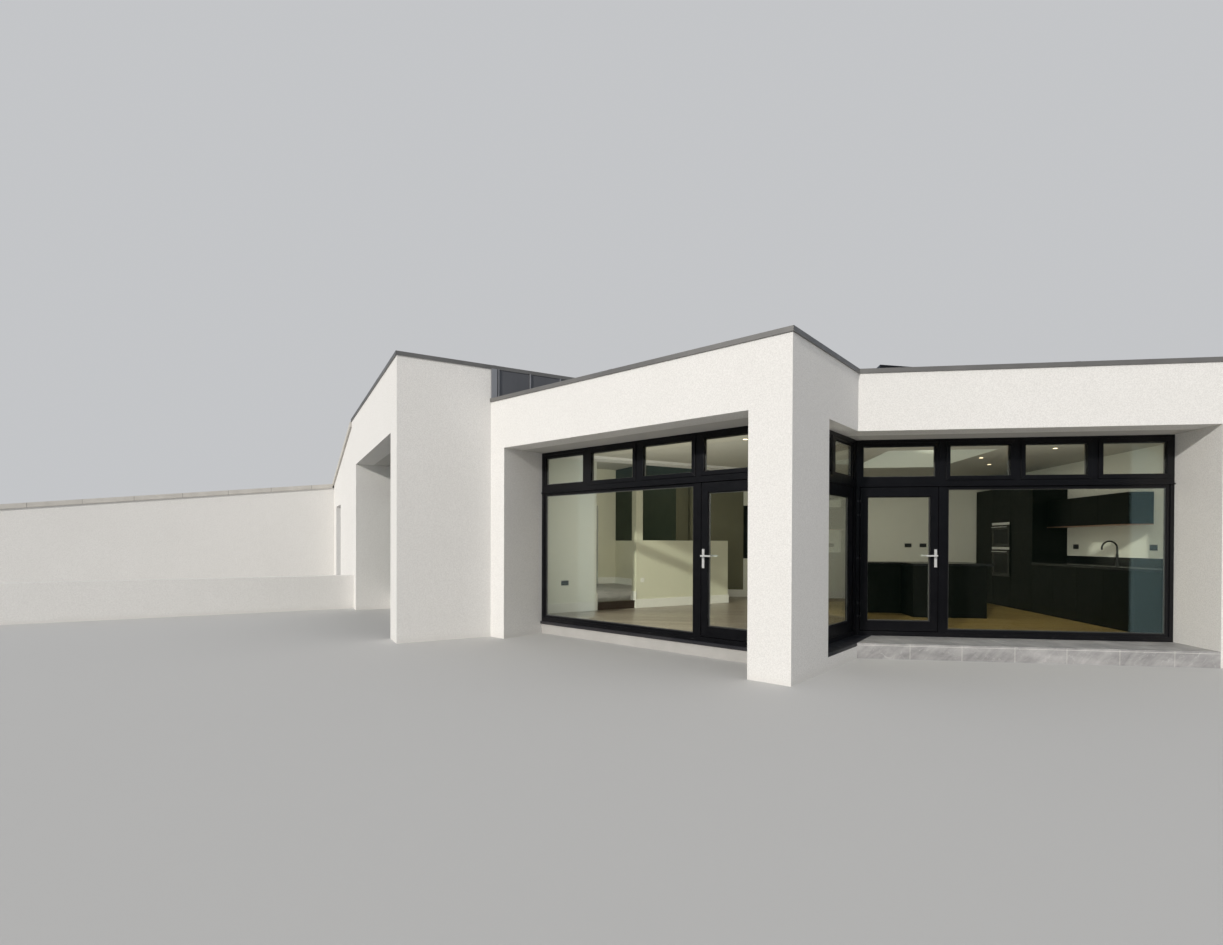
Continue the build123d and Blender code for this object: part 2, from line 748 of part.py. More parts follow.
# Full-height stub, half-height wall and its post, parallel to the tall block's front
def inner_walls():
    y = (inner_setback, inner_setback + inner_wall)
    stub_start = recess_depth + frame_depth
    start = tall_step + half_wall_start
    post = (start, start + half_wall_post)
    return {
        "inner_wall": block(tall, (tall_step + stub_start, tall_step + stub_end), y,
                            (floor_top, tall_roof_under)),
        "half_wall": block(tall, post, y, (floor_top, tall_roof_under))
        + block(tall, (post[1], start + half_wall_length), y, (floor_top, half_wall_top)),
    }


# Units along the right wall, set out from the back wall
def kitchen_units():
    front = inner_front - unit_depth
    larder_end = inner_back - end_filler
    larder_start = larder_end - larder_unit_width
    oven_start = larder_start - oven_unit_width
    tall_start = oven_start - fridge_unit_width
    base_start = kitchen_recess + frame_depth + base_setback
    unit_width = (tall_start - base_start) / base_units
    low_z = (floor_top, worktop_top - worktop_thickness)
    deep = (front, inner_front - unit_gap)
    units = []
    for i in range(base_units):
        y = base_start + i * unit_width
        units.append(block(kitchen, deep, (y, y + unit_width - unit_gap), low_z))
    groove = block(kitchen, (front, front + front_groove), (tall_start, larder_end),
                   (tall_unit_joint, tall_unit_joint + unit_gap))
    for y, stop in ((tall_start, oven_start), (oven_start, larder_start), (larder_start, larder_end)):
        units.append(block(kitchen, deep, (y, stop - unit_gap), (floor_top, tall_unit_top)) - groove)
    for i in range(cupboards):
        y = tall_start - (i + 1) * cupboard_width
        units.append(block(kitchen, (inner_front - cupboard_depth, inner_front),
                           (y, y + cupboard_width - unit_gap), (cupboard_low, cupboard_top)))
    run = (base_start, tall_start - unit_gap)
    top_z = (worktop_top - worktop_thickness, worktop_top)
    top = block(kitchen, (front - worktop_lip, inner_front), run, top_z)
    upstand = block(kitchen, (inner_front - upstand_thickness, inner_front), run, (worktop_top, upstand_top))
    oven_y = oven_start + (oven_unit_width - oven_width) / 2
    ovens = [block(kitchen, (front - oven_proud, front), (oven_y, oven_y + oven_width), (low, low + height))
             for low, height in ((oven_low, oven_height),
                                 (oven_low + oven_height + oven_gap, upper_oven_height))]
    bases, island_top = island(low_z, top_z)
    return {
        "kitchen_units": group(units + bases),
        "kitchen_worktop": group([top + upstand, island_top]),
        "ovens": group(ovens),
        "kitchen_tap": tap(tall_start),
    }


# The island's base units and its one worktop
def island(low_z, top_z):
    end_x, end_y = island_x + island_length, island_y + island_width
    wing_x, wing_y = island_x - island_wing_length, island_y + island_wing_setback
    width = island_length / island_units
    bases = [block(kitchen, (island_x + i * width, island_x + (i + 1) * width - unit_gap),
                   (island_y, end_y), low_z) for i in range(island_units)]
    bases.append(block(kitchen, (wing_x, island_x - unit_gap), (wing_y, end_y), low_z))
    top_y = (island_y - worktop_lip, end_y + worktop_lip)
    wing_top_y = (wing_y - worktop_lip, end_y + worktop_lip)
    top = block(kitchen, (island_x - worktop_lip, end_x + island_overhang), top_y, top_z)
    return bases, top + block(kitchen, (wing_x - worktop_lip, end_x), wing_top_y, top_z)


# A curved spout on a round base
def tap(run_end):
    radius = tap_reach / 2
    base = at(kitchen, inner_front - tap_x, run_end - tap_y)
    place = Plane(origin=base, x_dir=(-1, 0, 0), z_dir=(0, 0, 1))
    straight = tap_height - radius
    foot = Cylinder(tap_radius * 1.8, tap_radius, align=(Align.CENTER, Align.CENTER, Align.MIN))
    body = Cylinder(tap_body_radius, tap_body_height, align=(Align.CENTER, Align.CENTER, Align.MIN))
    rise = Cylinder(tap_radius, straight, align=(Align.CENTER, Align.CENTER, Align.MIN))
    bend = Pos(radius, 0, straight) * Rot(90, 0, 0) * Torus(radius, tap_radius)
    upper_half = Pos(radius, 0, straight) * Box(4 * radius, 4 * tap_radius, 2 * radius,
                                                align=(Align.CENTER, Align.CENTER, Align.MIN))
    drop = Pos(tap_reach, 0, straight - tap_radius * 2) * Cylinder(
        tap_radius, tap_radius * 2, align=(Align.CENTER, Align.CENTER, Align.MIN))
    return place * Pos(0, 0, worktop_top) * (foot + body + rise + (bend & upper_half) + drop)


# A kerb round the opening in the roof, its glass laid to a fall
def rooflight():
    x = (rooflight_x - rooflight_kerb, rooflight_x + rooflight_length + rooflight_kerb)
    y = (rooflight_y - rooflight_kerb, rooflight_y + rooflight_width + rooflight_kerb)
    high = roof_top + rooflight_height
    low = high - rooflight_fall
    hole = block(kitchen, (rooflight_x, rooflight_x + rooflight_length),
                 (rooflight_y, rooflight_y + rooflight_width), (roof_under, high))
    kerb = raking(kitchen, [(x[0], roof_top), (x[1], roof_top), (x[1], low), (x[0], high)], y) - hole
    glass = raking(kitchen, [(x[0], high), (x[1], low), (x[1], low + rooflight_glass),
                             (x[0], high + rooflight_glass)], y)
    return kerb, glass, hole


def build():
    os.makedirs("parts", exist_ok=True)
    shapes = {}
    shapes.update(front_walls())
    shapes.update(outer_walls())
    shapes.update(loggia())
    walls = list(shapes.values())
    shapes.update(floors(walls))
    shapes.update(soffits())
    shapes.update(roofs())
    shapes.update(caps())
    shapes.update(cladding())
    shapes.update(cills())
    shapes.update(garden_walls())
    shapes.update(inner_walls())
    shapes.update(kitchen_units())
    screens, glass = glazing()
    shapes.update(screens)
    shapes["return_window_frame"], corner_glass = return_window()
    other, other_glass = other_windows()
    shapes.update(other)
    shapes["window_glass"] = group(glass + corner_glass + other_glass)
    shapes["rooflight_kerb"], shapes["rooflight_glass"], hole = rooflight()
    shapes["main_roof"] = shapes["main_roof"] - hole
    for node, shape in shapes.items():
        save(node, shape)


build()
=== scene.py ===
import bpy
import bmesh
from math import radians, cos, sin
from mathutils import Matrix, Vector
from mathutils.geometry import tessellate_polygon


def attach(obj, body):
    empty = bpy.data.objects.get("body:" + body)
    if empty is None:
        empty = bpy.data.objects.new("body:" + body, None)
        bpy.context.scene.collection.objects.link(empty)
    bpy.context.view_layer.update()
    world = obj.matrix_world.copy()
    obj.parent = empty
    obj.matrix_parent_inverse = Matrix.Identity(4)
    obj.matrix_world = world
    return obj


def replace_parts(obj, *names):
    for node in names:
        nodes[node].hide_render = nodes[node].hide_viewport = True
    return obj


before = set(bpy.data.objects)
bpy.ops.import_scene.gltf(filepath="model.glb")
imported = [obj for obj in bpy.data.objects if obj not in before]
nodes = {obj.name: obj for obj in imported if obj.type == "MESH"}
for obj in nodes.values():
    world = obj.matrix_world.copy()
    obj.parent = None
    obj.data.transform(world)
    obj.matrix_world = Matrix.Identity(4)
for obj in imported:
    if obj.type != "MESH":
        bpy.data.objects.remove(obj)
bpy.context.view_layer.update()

print("stage: frame loaded,", len(nodes), "nodes")


# plans of the house's blocks: x along a front, y into the house
def planFrame(x, y, degrees):
    return Matrix.Translation((x, y, 0)) @ Matrix.Rotation(radians(degrees), 4, "Z")


mainPlan = planFrame(-4.181179, 2.091422, -32.8)
kitchenPlan = planFrame(1.020360, 1.124554, 0)
tallPlan = planFrame(-5.293932, 1.246797, 37.2)
rakingPlan = planFrame(-8.665781, 5.689044, 127.2)


def isSocket(value):
    return isinstance(value, bpy.types.NodeSocket)


# an input takes a value, or a link where the value is another node's socket
def setInputs(tree, node, values):
    for key, value in values.items():
        if isSocket(value):
            tree.links.new(value, node.inputs[key])
        else:
            node.inputs[key].default_value = value


def addNode(tree, kind, values=None, **settings):
    node = tree.nodes.new(kind)
    for key, value in settings.items():
        setattr(node, key, value)
    setInputs(tree, node, values or {})
    return node


def calculate(tree, operation, *values, **settings):
    node = addNode(tree, "ShaderNodeMath", dict(enumerate(values)), operation=operation, **settings)
    return node.outputs[0]


def remap(tree, value, source=(0.0, 1.0), target=(0.0, 1.0), smooth=False):
    limits = {"From Min": source[0], "From Max": source[1], "To Min": target[0], "To Max": target[1]}
    return addNode(tree, "ShaderNodeMapRange", {"Value": value, **limits},
                   interpolation_type="SMOOTHSTEP" if smooth else "LINEAR").outputs["Result"]


def mixColour(tree, fac, a, b):
    a, b = (value if isSocket(value) else (*value, 1) for value in (a, b))
    return addNode(tree, "ShaderNodeMix", {0: fac, 6: a, 7: b}, data_type="RGBA").outputs[2]


def objectPlace(tree):
    return addNode(tree, "ShaderNodeTexCoord").outputs["Object"]


def cloudNoise(tree, place, scale, detail, roughness=0.5, distortion=0.0):
    return addNode(tree, "ShaderNodeTexNoise", {
        "Vector": place, "Scale": scale, "Detail": detail, "Roughness": roughness,
        "Distortion": distortion}).outputs["Fac"]


def newGroup(name, inputs, outputs):
    group = bpy.data.node_groups.new(name, "ShaderNodeTree")
    for label, value in inputs.items():
        kind = "NodeSocketVector" if isinstance(value, tuple) else "NodeSocketFloat"
        group.interface.new_socket(label, in_out="INPUT", socket_type=kind).default_value = value
    for label, kind in outputs.items():
        group.interface.new_socket(label, in_out="OUTPUT", socket_type="NodeSocket" + kind)
    return group, group.nodes.new("NodeGroupInput").outputs, group.nodes.new("NodeGroupOutput")


def useGroup(tree, group, **values):
    return addNode(tree, "ShaderNodeGroup", values, node_tree=group)


def stretchedPlace(group, given):
    return addNode(group, "ShaderNodeVectorMath", {0: objectPlace(group), 1: given["Stretch"]},
                   operation="MULTIPLY").outputs[0]


# cloudy value from 0 to 1 over the surface, stretched as asked
def buildMottle():
    inputs = {"Scale": 1.0, "Stretch": (1, 1, 1), "Contrast": 1.0}
    group, given, out = newGroup("mottle", inputs, {"Value": "Float"})
    clouds = cloudNoise(group, stretchedPlace(group, given), given["Scale"], detail=7.0, roughness=0.58)
    middle = 0.5
    centred = calculate(group, "SUBTRACT", clouds, middle)
    wide = calculate(group, "MULTIPLY", centred, given["Contrast"])
    setInputs(group, out, {"Value": calculate(group, "ADD", wide, middle, use_clamp=True)})
    return group


grainLook = {"coarser": 0.17, "coarseShare": 0.6}


# bump normal and height of a granular or fine surface
def buildGrain():
    inputs = {"Scale": 200.0, "Strength": 0.3, "Depth": 0.002, "Stretch": (1, 1, 1)}
    group, given, out = newGroup("grain", inputs, {"Normal": "Vector", "Height": "Float"})
    place = stretchedPlace(group, given)
    fine = cloudNoise(group, place, given["Scale"], detail=4.0, roughness=0.7)
    coarseScale = calculate(group, "MULTIPLY", given["Scale"], grainLook["coarser"])
    coarse = cloudNoise(group, place, coarseScale, detail=3.0, roughness=0.6)
    height = calculate(group, "MULTIPLY_ADD", coarse, grainLook["coarseShare"], fine)
    bump = addNode(group, "ShaderNodeBump", {
        "Height": height, "Strength": given["Strength"], "Distance": given["Depth"]})
    setInputs(group, out, {"Normal": bump.outputs[0], "Height": height})
    return group


# dirt that is full at the ground and gone at the given height, with a ragged edge
def buildFootDirt():
    group, given, out = newGroup("footDirt", {"Reach": 0.3, "Amount": 0.5}, {"Mask": "Float"})
    place = objectPlace(group)
    level = addNode(group, "ShaderNodeSeparateXYZ", {0: place}).outputs["Z"]
    ragged = cloudNoise(group, place, 2.6, detail=6.0)
    height = calculate(group, "MULTIPLY", ragged, given["Reach"])
    fade = remap(group, level, (0.0, calculate(group, "MULTIPLY", height, 2.0)), (1.0, 0.0), smooth=True)
    setInputs(group, out, {"Mask": calculate(group, "MULTIPLY", fade, given["Amount"], use_clamp=True)})
    return group


mottle, grain, footDirt = buildMottle(), buildGrain(), buildFootDirt()
print("stage: shader groups built")


def startMaterial(name, metallic=0.0):
    material = bpy.data.materials.new(name)
    material.use_nodes = True
    tree = material.node_tree
    shader = tree.nodes["Principled BSDF"]
    shader.inputs["Metallic"].default_value = metallic
    return material, tree, shader


# shared limits of the finishes: grain height where a pale surface shows specks, width of the edge of the
# painted highlight on a raised part, and the second cloudiness that spreads the roughness
finishLook = {"speckFrom": (0.72, 0.88), "raisedHighlightEdge": 0.002, "spreadScale": 3.1, "spreadContrast": 2.0}


# a finish from its dictionary: two tones, their cloudiness, a roughness range and grain as scale,
# strength and depth; foot dirt is a tone, its reach and amount; raised parts of a face are found by
# direction and level and take a paler tone, a painted highlight
def makeFinish(name, look):
    material, tree, shader = startMaterial(name, look.get("metallic", 0.0))
    clouds = useGroup(tree, mottle, Scale=look["toneScale"], Stretch=look.get("stretch", (1, 1, 1)),
                      Contrast=look.get("contrast", 1.6))
    colour = mixColour(tree, clouds.outputs[0], *look["tones"])
    if "dirt" in look:
        tone, reach, amount = look["dirt"]
        foot = useGroup(tree, footDirt, Reach=reach, Amount=amount)
        colour = mixColour(tree, foot.outputs[0], colour, tone)
    # painted highlight: parts that stand proud of the face along the given direction take a paler tone
    if "raisedHighlight" in look:
        direction, level, tone = look["raisedHighlight"]
        ahead = addNode(tree, "ShaderNodeVectorMath", {0: objectPlace(tree), 1: direction},
                        operation="DOT_PRODUCT").outputs["Value"]
        edge = remap(tree, ahead, (level, level + finishLook["raisedHighlightEdge"]))
        colour = mixColour(tree, edge, colour, tone)
    scale, strength, depth = look["grain"]
    texture = useGroup(tree, grain, Scale=scale, Strength=strength, Depth=depth,
                       Stretch=look.get("grainStretch", (1, 1, 1)))
    if "speck" in look:
        speck = remap(tree, texture.outputs["Height"], finishLook["speckFrom"])
        colour = mixColour(tree, speck, colour, look["speck"])
    spread = useGroup(tree, mottle, Scale=look["toneScale"] * finishLook["spreadScale"],
                      Contrast=finishLook["spreadContrast"])
    setInputs(tree, shader, {
        "Base Color": colour, "Normal": texture.outputs["Normal"],
        "Roughness": remap(tree, spread.outputs[0], target=look["rough"]),
        "Specular IOR Level": look.get("specular", 0.5)})
    return material


finishes = {
    "whiteRender": {"tones": ((0.84, 0.825, 0.795), (0.89, 0.875, 0.85)), "toneScale": 1.3,
        "rough": (0.82, 0.95), "grain": (420.0, 0.85, 0.004), "speck": (0.72, 0.705, 0.68),
        "specular": 0.25, "dirt": ((0.56, 0.53, 0.48), 0.12, 0.28)},
    # the soffits take a darker copy of the white render: painted shade under the recess heads
    "shadedSoffitRender": {"tones": ((0.55, 0.54, 0.51), (0.61, 0.595, 0.565)), "toneScale": 1.1,
        "rough": (0.82, 0.95), "grain": (240.0, 0.4, 0.003), "specular": 0.25},
    "blackFrame": {"tones": ((0.003, 0.003, 0.004), (0.006, 0.006, 0.0078)), "toneScale": 5.0,
        "rough": (0.27, 0.4), "grain": (900.0, 0.12, 0.0004), "specular": 0.3,
        "dirt": ((0.06, 0.055, 0.05), 0.24, 0.25)},
    "hingeBlack": {"tones": ((0.017, 0.017, 0.019), (0.029, 0.029, 0.032)), "toneScale": 9.0,
        "rough": (0.3, 0.4), "grain": (900.0, 0.1, 0.0003)},
    "capMetal": {"tones": ((0.17, 0.165, 0.158), (0.24, 0.232, 0.22)), "toneScale": 1.7,
        "contrast": 2.0, "rough": (0.42, 0.58), "grain": (420.0, 0.1, 0.0006), "metallic": 0.45},
    # the proud seams of the zinc take a paler tone: a painted highlight
    "zincSheet": {"tones": ((0.1, 0.101, 0.108), (0.15, 0.152, 0.16)), "toneScale": 1.2,
        "contrast": 2.2, "stretch": (1, 1, 0.35), "rough": (0.38, 0.55), "grain": (300.0, 0.12, 0.001),
        "metallic": 0.35, "raisedHighlight": ((0.6046, -0.79653, 0), -4.1828, (0.3, 0.304, 0.322))},
    "cillMetal": {"tones": ((0.013, 0.013, 0.017), (0.024, 0.024, 0.03)), "toneScale": 3.0,
        "rough": (0.3, 0.5), "grain": (500.0, 0.12, 0.0005), "dirt": ((0.11, 0.1, 0.09), 0.26, 0.35)},
    "copingConcrete": {"tones": ((0.5, 0.475, 0.435), (0.66, 0.635, 0.59)), "toneScale": 3.4,
        "contrast": 1.5, "rough": (0.75, 0.92), "grain": (130.0, 0.6, 0.003), "specular": 0.3},
    # the coping joints take a dark tone: painted shade in the gaps between the stones
    "shadedCopingJoint": {"tones": ((0.15, 0.14, 0.125), (0.22, 0.205, 0.185)), "toneScale": 5.0,
        "rough": (0.85, 0.95), "grain": (300.0, 0.5, 0.002)},
    "roofMembrane": {"tones": ((0.23, 0.235, 0.24), (0.34, 0.345, 0.35)), "toneScale": 0.8,
        "contrast": 2.4, "rough": (0.65, 0.85), "grain": (160.0, 0.35, 0.002)},
    "groundSlab": {"tones": ((0.36, 0.35, 0.33), (0.48, 0.465, 0.44)), "toneScale": 2.1,
        "rough": (0.8, 0.95), "grain": (110.0, 0.5, 0.003)},
    "wallPaint": {"tones": ((0.74, 0.745, 0.665), (0.78, 0.785, 0.7)), "toneScale": 0.9,
        "rough": (0.55, 0.7), "grain": (320.0, 0.12, 0.0008)},
    "warmPaint": {"tones": ((0.63, 0.62, 0.49), (0.67, 0.66, 0.525)), "toneScale": 0.9,
        "rough": (0.55, 0.7), "grain": (320.0, 0.12, 0.0008)},
    # a darkened copy of the wall paint: painted shade of the deep rooms behind
    "shadeDimmedPaint": {"tones": ((0.135, 0.13, 0.085), (0.175, 0.168, 0.11)), "toneScale": 0.9,
        "rough": (0.55, 0.7), "grain": (320.0, 0.12, 0.0008)},
    # a near-black sheet: painted shade of the dark end of the hall
    "paintedShadePanel": {"tones": ((0.02, 0.027, 0.018), (0.034, 0.042, 0.028)), "toneScale": 1.6,
        "rough": (0.35, 0.5), "grain": (500.0, 0.06, 0.0004), "specular": 0.2},
    "ceilingPaint": {"tones": ((0.5, 0.475, 0.405), (0.54, 0.515, 0.44)), "toneScale": 0.8,
        "rough": (0.65, 0.8), "grain": (300.0, 0.12, 0.0008)},
    "whiteTrim": {"tones": ((0.76, 0.75, 0.7), (0.8, 0.79, 0.74)), "toneScale": 2.0,
        "rough": (0.3, 0.42), "grain": (500.0, 0.08, 0.0004)},
    "unitFronts": {"tones": ((0.002, 0.0021, 0.0019), (0.0045, 0.0046, 0.0043)), "toneScale": 2.3,
        "rough": (0.34, 0.46), "grain": (700.0, 0.08, 0.0004), "specular": 0.12},
    "handleMetal": {"tones": ((0.66, 0.66, 0.655), (0.8, 0.8, 0.79)), "toneScale": 9.0,
        "rough": (0.24, 0.36), "grain": (1400.0, 0.1, 0.0002), "grainStretch": (1, 1, 0.05),
        "metallic": 0.35},
    "spacerMetal": {"tones": ((0.2, 0.197, 0.19), (0.28, 0.275, 0.265)), "toneScale": 6.0,
        "rough": (0.35, 0.48), "grain": (700.0, 0.1, 0.0003), "metallic": 0.8},
    "gasketRubber": {"tones": ((0.01, 0.01, 0.011), (0.018, 0.018, 0.019)), "toneScale": 7.0,
        "rough": (0.6, 0.75), "grain": (900.0, 0.15, 0.0003)},
    "tapBlack": {"tones": ((0.011, 0.011, 0.012), (0.016, 0.016, 0.017)), "toneScale": 9.0,
        "rough": (0.3, 0.38), "grain": (900.0, 0.06, 0.0002), "metallic": 0.3},
    "socketMetal": {"tones": ((0.055, 0.057, 0.062), (0.085, 0.087, 0.092)), "toneScale": 12.0,
        "rough": (0.34, 0.44), "grain": (1500.0, 0.08, 0.0002), "metallic": 0.6},
    "copperEdge": {"tones": ((0.42, 0.24, 0.17), (0.58, 0.35, 0.26)), "toneScale": 4.0,
        "rough": (0.28, 0.4), "grain": (900.0, 0.08, 0.0003), "metallic": 0.8},
    "ovenGlass": {"tones": ((0.006, 0.006, 0.007), (0.01, 0.01, 0.011)), "toneScale": 6.0,
        "rough": (0.06, 0.12), "grain": (500.0, 0.02, 0.0002)},
    "stepTimber": {"tones": ((0.03, 0.018, 0.014), (0.06, 0.037, 0.028)), "toneScale": 4.0,
        "stretch": (1, 1, 6.0), "rough": (0.3, 0.42), "grain": (300.0, 0.2, 0.0006)},
    "jointMortar": {"tones": ((0.66, 0.64, 0.61), (0.78, 0.76, 0.73)), "toneScale": 5.0,
        "rough": (0.85, 0.95), "grain": (300.0, 0.5, 0.002)},
}
materials = {name: makeFinish(name, look) for name, look in finishes.items()}

glassLook = {"tint": (0.93, 0.965, 0.945), "ior": 1.45, "specular": 0.3, "mirrorTint": (0.50, 0.84, 1.0)}
glassPass = {"clearGlass": (0.985, 0.995, 0.98, 1), "shadedGlass": (0.62, 0.66, 0.64, 1)}


# clear glass, open to lamps and to light that the rooms scatter
def makeGlass(name):
    material, tree, shader = startMaterial(name)
    setInputs(tree, shader, {
        "Base Color": (*glassLook["tint"], 1), "Roughness": 0.0, "Transmission Weight": 1.0,
        "IOR": glassLook["ior"], "Specular IOR Level": glassLook["specular"],
        "Specular Tint": (*glassLook["mirrorTint"], 1)})
    path = tree.nodes.new("ShaderNodeLightPath").outputs
    passing = calculate(tree, "MAXIMUM", path["Is Shadow Ray"], path["Is Diffuse Ray"])
    openShader = addNode(tree, "ShaderNodeBsdfTransparent", {"Color": glassPass[name]})
    mixed = addNode(tree, "ShaderNodeMixShader", {
        0: passing, 1: shader.outputs[0], 2: openShader.outputs[0]})
    tree.links.new(mixed.outputs[0], tree.nodes["Material Output"].inputs["Surface"])
    return material


# the boards turn gold from one x to the next, towards the kitchen: a painted pool of sunlight on the floor
timberLook = {"dark": (0.17, 0.138, 0.112), "light": (0.46, 0.395, 0.325),
    "sunlitDark": (0.13, 0.088, 0.028), "sunlitLight": (0.29, 0.205, 0.075), "sunlitFrom": (-0.6, 1.6),
    "joint": (0.02, 0.013, 0.009), "board": (1.9, 0.19), "jointWidth": 0.0018, "shift": 0.37,
    "rough": (0.24, 0.38), "figure": {"Scale": 9.0, "Stretch": (0.35, 6.0, 1.0), "Contrast": 1.9},
    "boardShare": 0.45,
    "figureShare": 0.55, "relief": 0.25, "bump": {"Strength": 0.35, "Distance": 0.002}}


# oiled floor boards: a random tone for each, long grain, fine joints and painted sunlight
def makeTimber(dark, light, sunlitDark, sunlitLight, sunlitFrom, joint, board, jointWidth, shift, rough,
               figure, boardShare, figureShare, relief, bump):
    material, tree, shader = startMaterial("timberBoards")
    place = objectPlace(tree)
    bricks = addNode(tree, "ShaderNodeTexBrick", {
        "Vector": place, "Color1": (0, 0, 0, 1), "Color2": (1, 1, 1, 1), "Mortar": (0.5, 0.5, 0.5, 1),
        "Scale": 1.0, "Mortar Smooth": 0.1, "Mortar Size": jointWidth, "Brick Width": board[0],
        "Row Height": board[1]}, offset=shift, offset_frequency=2).outputs
    tone = addNode(tree, "ShaderNodeRGBToBW", {0: bricks["Color"]}).outputs[0]
    lines = useGroup(tree, mottle, **figure).outputs[0]
    share = calculate(tree, "MULTIPLY", lines, figureShare)
    blend = calculate(tree, "MULTIPLY_ADD", tone, boardShare, share)
    along = addNode(tree, "ShaderNodeSeparateXYZ", {0: place}).outputs["X"]
    # painted sunlight: the boards blend to a warm gold along x
    sunPatch = remap(tree, along, sunlitFrom, smooth=True)
    wood = mixColour(tree, blend, mixColour(tree, sunPatch, dark, sunlitDark),
                     mixColour(tree, sunPatch, light, sunlitLight))
    sunk = calculate(tree, "SUBTRACT", calculate(tree, "MULTIPLY", lines, relief), bricks["Fac"])
    bumped = addNode(tree, "ShaderNodeBump", {"Height": sunk, **bump})
    setInputs(tree, shader, {
        "Base Color": mixColour(tree, bricks["Fac"], wood, joint),
        "Roughness": remap(tree, lines, target=rough), "Normal": bumped.outputs[0]})
    return material


slateLook = {"dark": (0.20, 0.197, 0.197), "light": (0.49, 0.478, 0.471), "vein": (0.60, 0.59, 0.577),
    "rough": (0.42, 0.62), "lean": (0, 0.75, 0.35), "streak": (0.16, 0.7, 0.7), "cloudShare": 0.38,
    "clouds": {"Scale": 3.2, "Stretch": (0.8, 1.0, 1.6), "Contrast": 2.3}, "streakShare": 0.62,
    "spread": (0.22, 0.78), "veinWidth": 0.006, "veinStrength": 0.5,
    "relief": {"Scale": 38.0, "Strength": 0.5, "Depth": 0.006}}


# riven blue-grey stone with leaning streaks and pale veins
def makeSlate(dark, light, vein, rough, lean, streak, clouds, cloudShare, streakShare, spread, veinWidth,
              veinStrength, relief):
    material, tree, shader = startMaterial("slateTile")
    cloudy, place = useGroup(tree, mottle, **clouds).outputs[0], objectPlace(tree)
    leaning = addNode(tree, "ShaderNodeMapping", {"Vector": place, "Rotation": lean, "Scale": streak},
                      vector_type="TEXTURE").outputs[0]
    streaks = cloudNoise(tree, leaning, 2.0, detail=7.0, roughness=0.66, distortion=0.7)
    riven = calculate(tree, "MULTIPLY", streaks, streakShare)
    figure = calculate(tree, "MULTIPLY_ADD", cloudy, cloudShare, riven)
    base = mixColour(tree, remap(tree, figure, spread), dark, light)
    warp = cloudNoise(tree, place, 1.7, detail=3.0, distortion=2.6)
    line = calculate(tree, "ABSOLUTE", calculate(tree, "SUBTRACT", warp, 0.5))
    veins = remap(tree, line, (0.0, veinWidth), (veinStrength, 0.0))
    setInputs(tree, shader, {
        "Base Color": mixColour(tree, veins, base, vein), "Roughness": remap(tree, cloudy, target=rough),
        "Normal": useGroup(tree, grain, **relief).outputs["Normal"]})
    return material


worktopLook = {"base": (0.008, 0.008, 0.009), "fleck": (0.08, 0.08, 0.085), "rough": 0.24,
    "fleckScale": 260.0, "fleckSize": 0.22, "fleckStrength": 0.6,
    "relief": {"Scale": 400.0, "Strength": 0.06, "Depth": 0.0004}}


# honed stone with pale flecks
def makeWorktop(base, fleck, rough, fleckScale, fleckSize, fleckStrength, relief):
    material, tree, shader = startMaterial("honedStone")
    cells = addNode(tree, "ShaderNodeTexVoronoi", {"Scale": fleckScale, "Vector": objectPlace(tree)})
    flecks = remap(tree, cells.outputs["Distance"], (0.0, fleckSize), (fleckStrength, 0.0))
    setInputs(tree, shader, {
        "Base Color": mixColour(tree, flecks, base, fleck), "Roughness": rough,
        "Normal": useGroup(tree, grain, **relief).outputs["Normal"]})
    return material


lampLook = {"strength": 6.0, "deep": (1.0, 0.72, 0.42), "pale": (1.0, 0.82, 0.58), "cloudScale": 30.0}


def makeLamp(strength, deep, pale, cloudScale):
    material, tree, shader = startMaterial("lampDiffuser")
    glow = useGroup(tree, mottle, Scale=cloudScale, Contrast=1.0).outputs[0]
    setInputs(tree, shader, {
        "Emission Strength": strength, "Emission Color": mixColour(tree, glow, deep, pale)})
    return material


materials.update({name: makeGlass(name) for name in glassPass})
materials["timberBoards"] = makeTimber(**timberLook)
materials["slateTile"] = makeSlate(**slateLook)
materials["honedStone"] = makeWorktop(**worktopLook)
materials["lampDiffuser"] = makeLamp(**lampLook)
print("stage:", len(materials), "materials built")

# the CAD's own solids take their finishes, and the render where none is named
nodeFinish = {
    "shadedSoffitRender": "recess_soffits",
    "blackFrame": "back_window_frames kitchen_window_frame loggia_window_frame return_window_frame "
                  "terrace_window_frame terrace_door kitchen_door rooflight_kerb",
    "hingeBlack": "door_hinges",
    "capMetal": "main_cap tall_cap",
    "zincSheet": "zinc_cladding",
    "clearGlass": "window_glass terrace_door_glass kitchen_door_glass rooflight_glass",
    "slateTile": "door_step",
    "cillMetal": "window_cills return_cill",
    "copingConcrete": "garden_copings",
    "roofMembrane": "main_roof tall_roof",
    "timberBoards": "timber_floor",
    "groundSlab": "floor_slab",
    "wallPaint": "inner_wall",
    "warmPaint": "half_wall",
    "handleMetal": "terrace_door_lever kitchen_door_lever terrace_door_plates kitchen_door_plates",
    "unitFronts": "kitchen_units",
    "honedStone": "kitchen_worktop",
    "ovenGlass": "ovens",
    "tapBlack": "kitchen_tap",
}
named = " ".join(nodeFinish.values()).split()
nodeFinish["whiteRender"] = " ".join(name for name in nodes if name not in named)
for finishName, names in nodeFinish.items():
    for name in names.split():
        nodes[name].material_slots[0].material = materials[finishName]
print("stage: CAD nodes finished")


# mesh helpers
def roundEdges(bm, faces, width):
    edges = list({edge for face in faces for edge in face.edges})
    bmesh.ops.bevel(bm, geom=edges, offset=width, segments=2, profile=0.6, affect="EDGES")


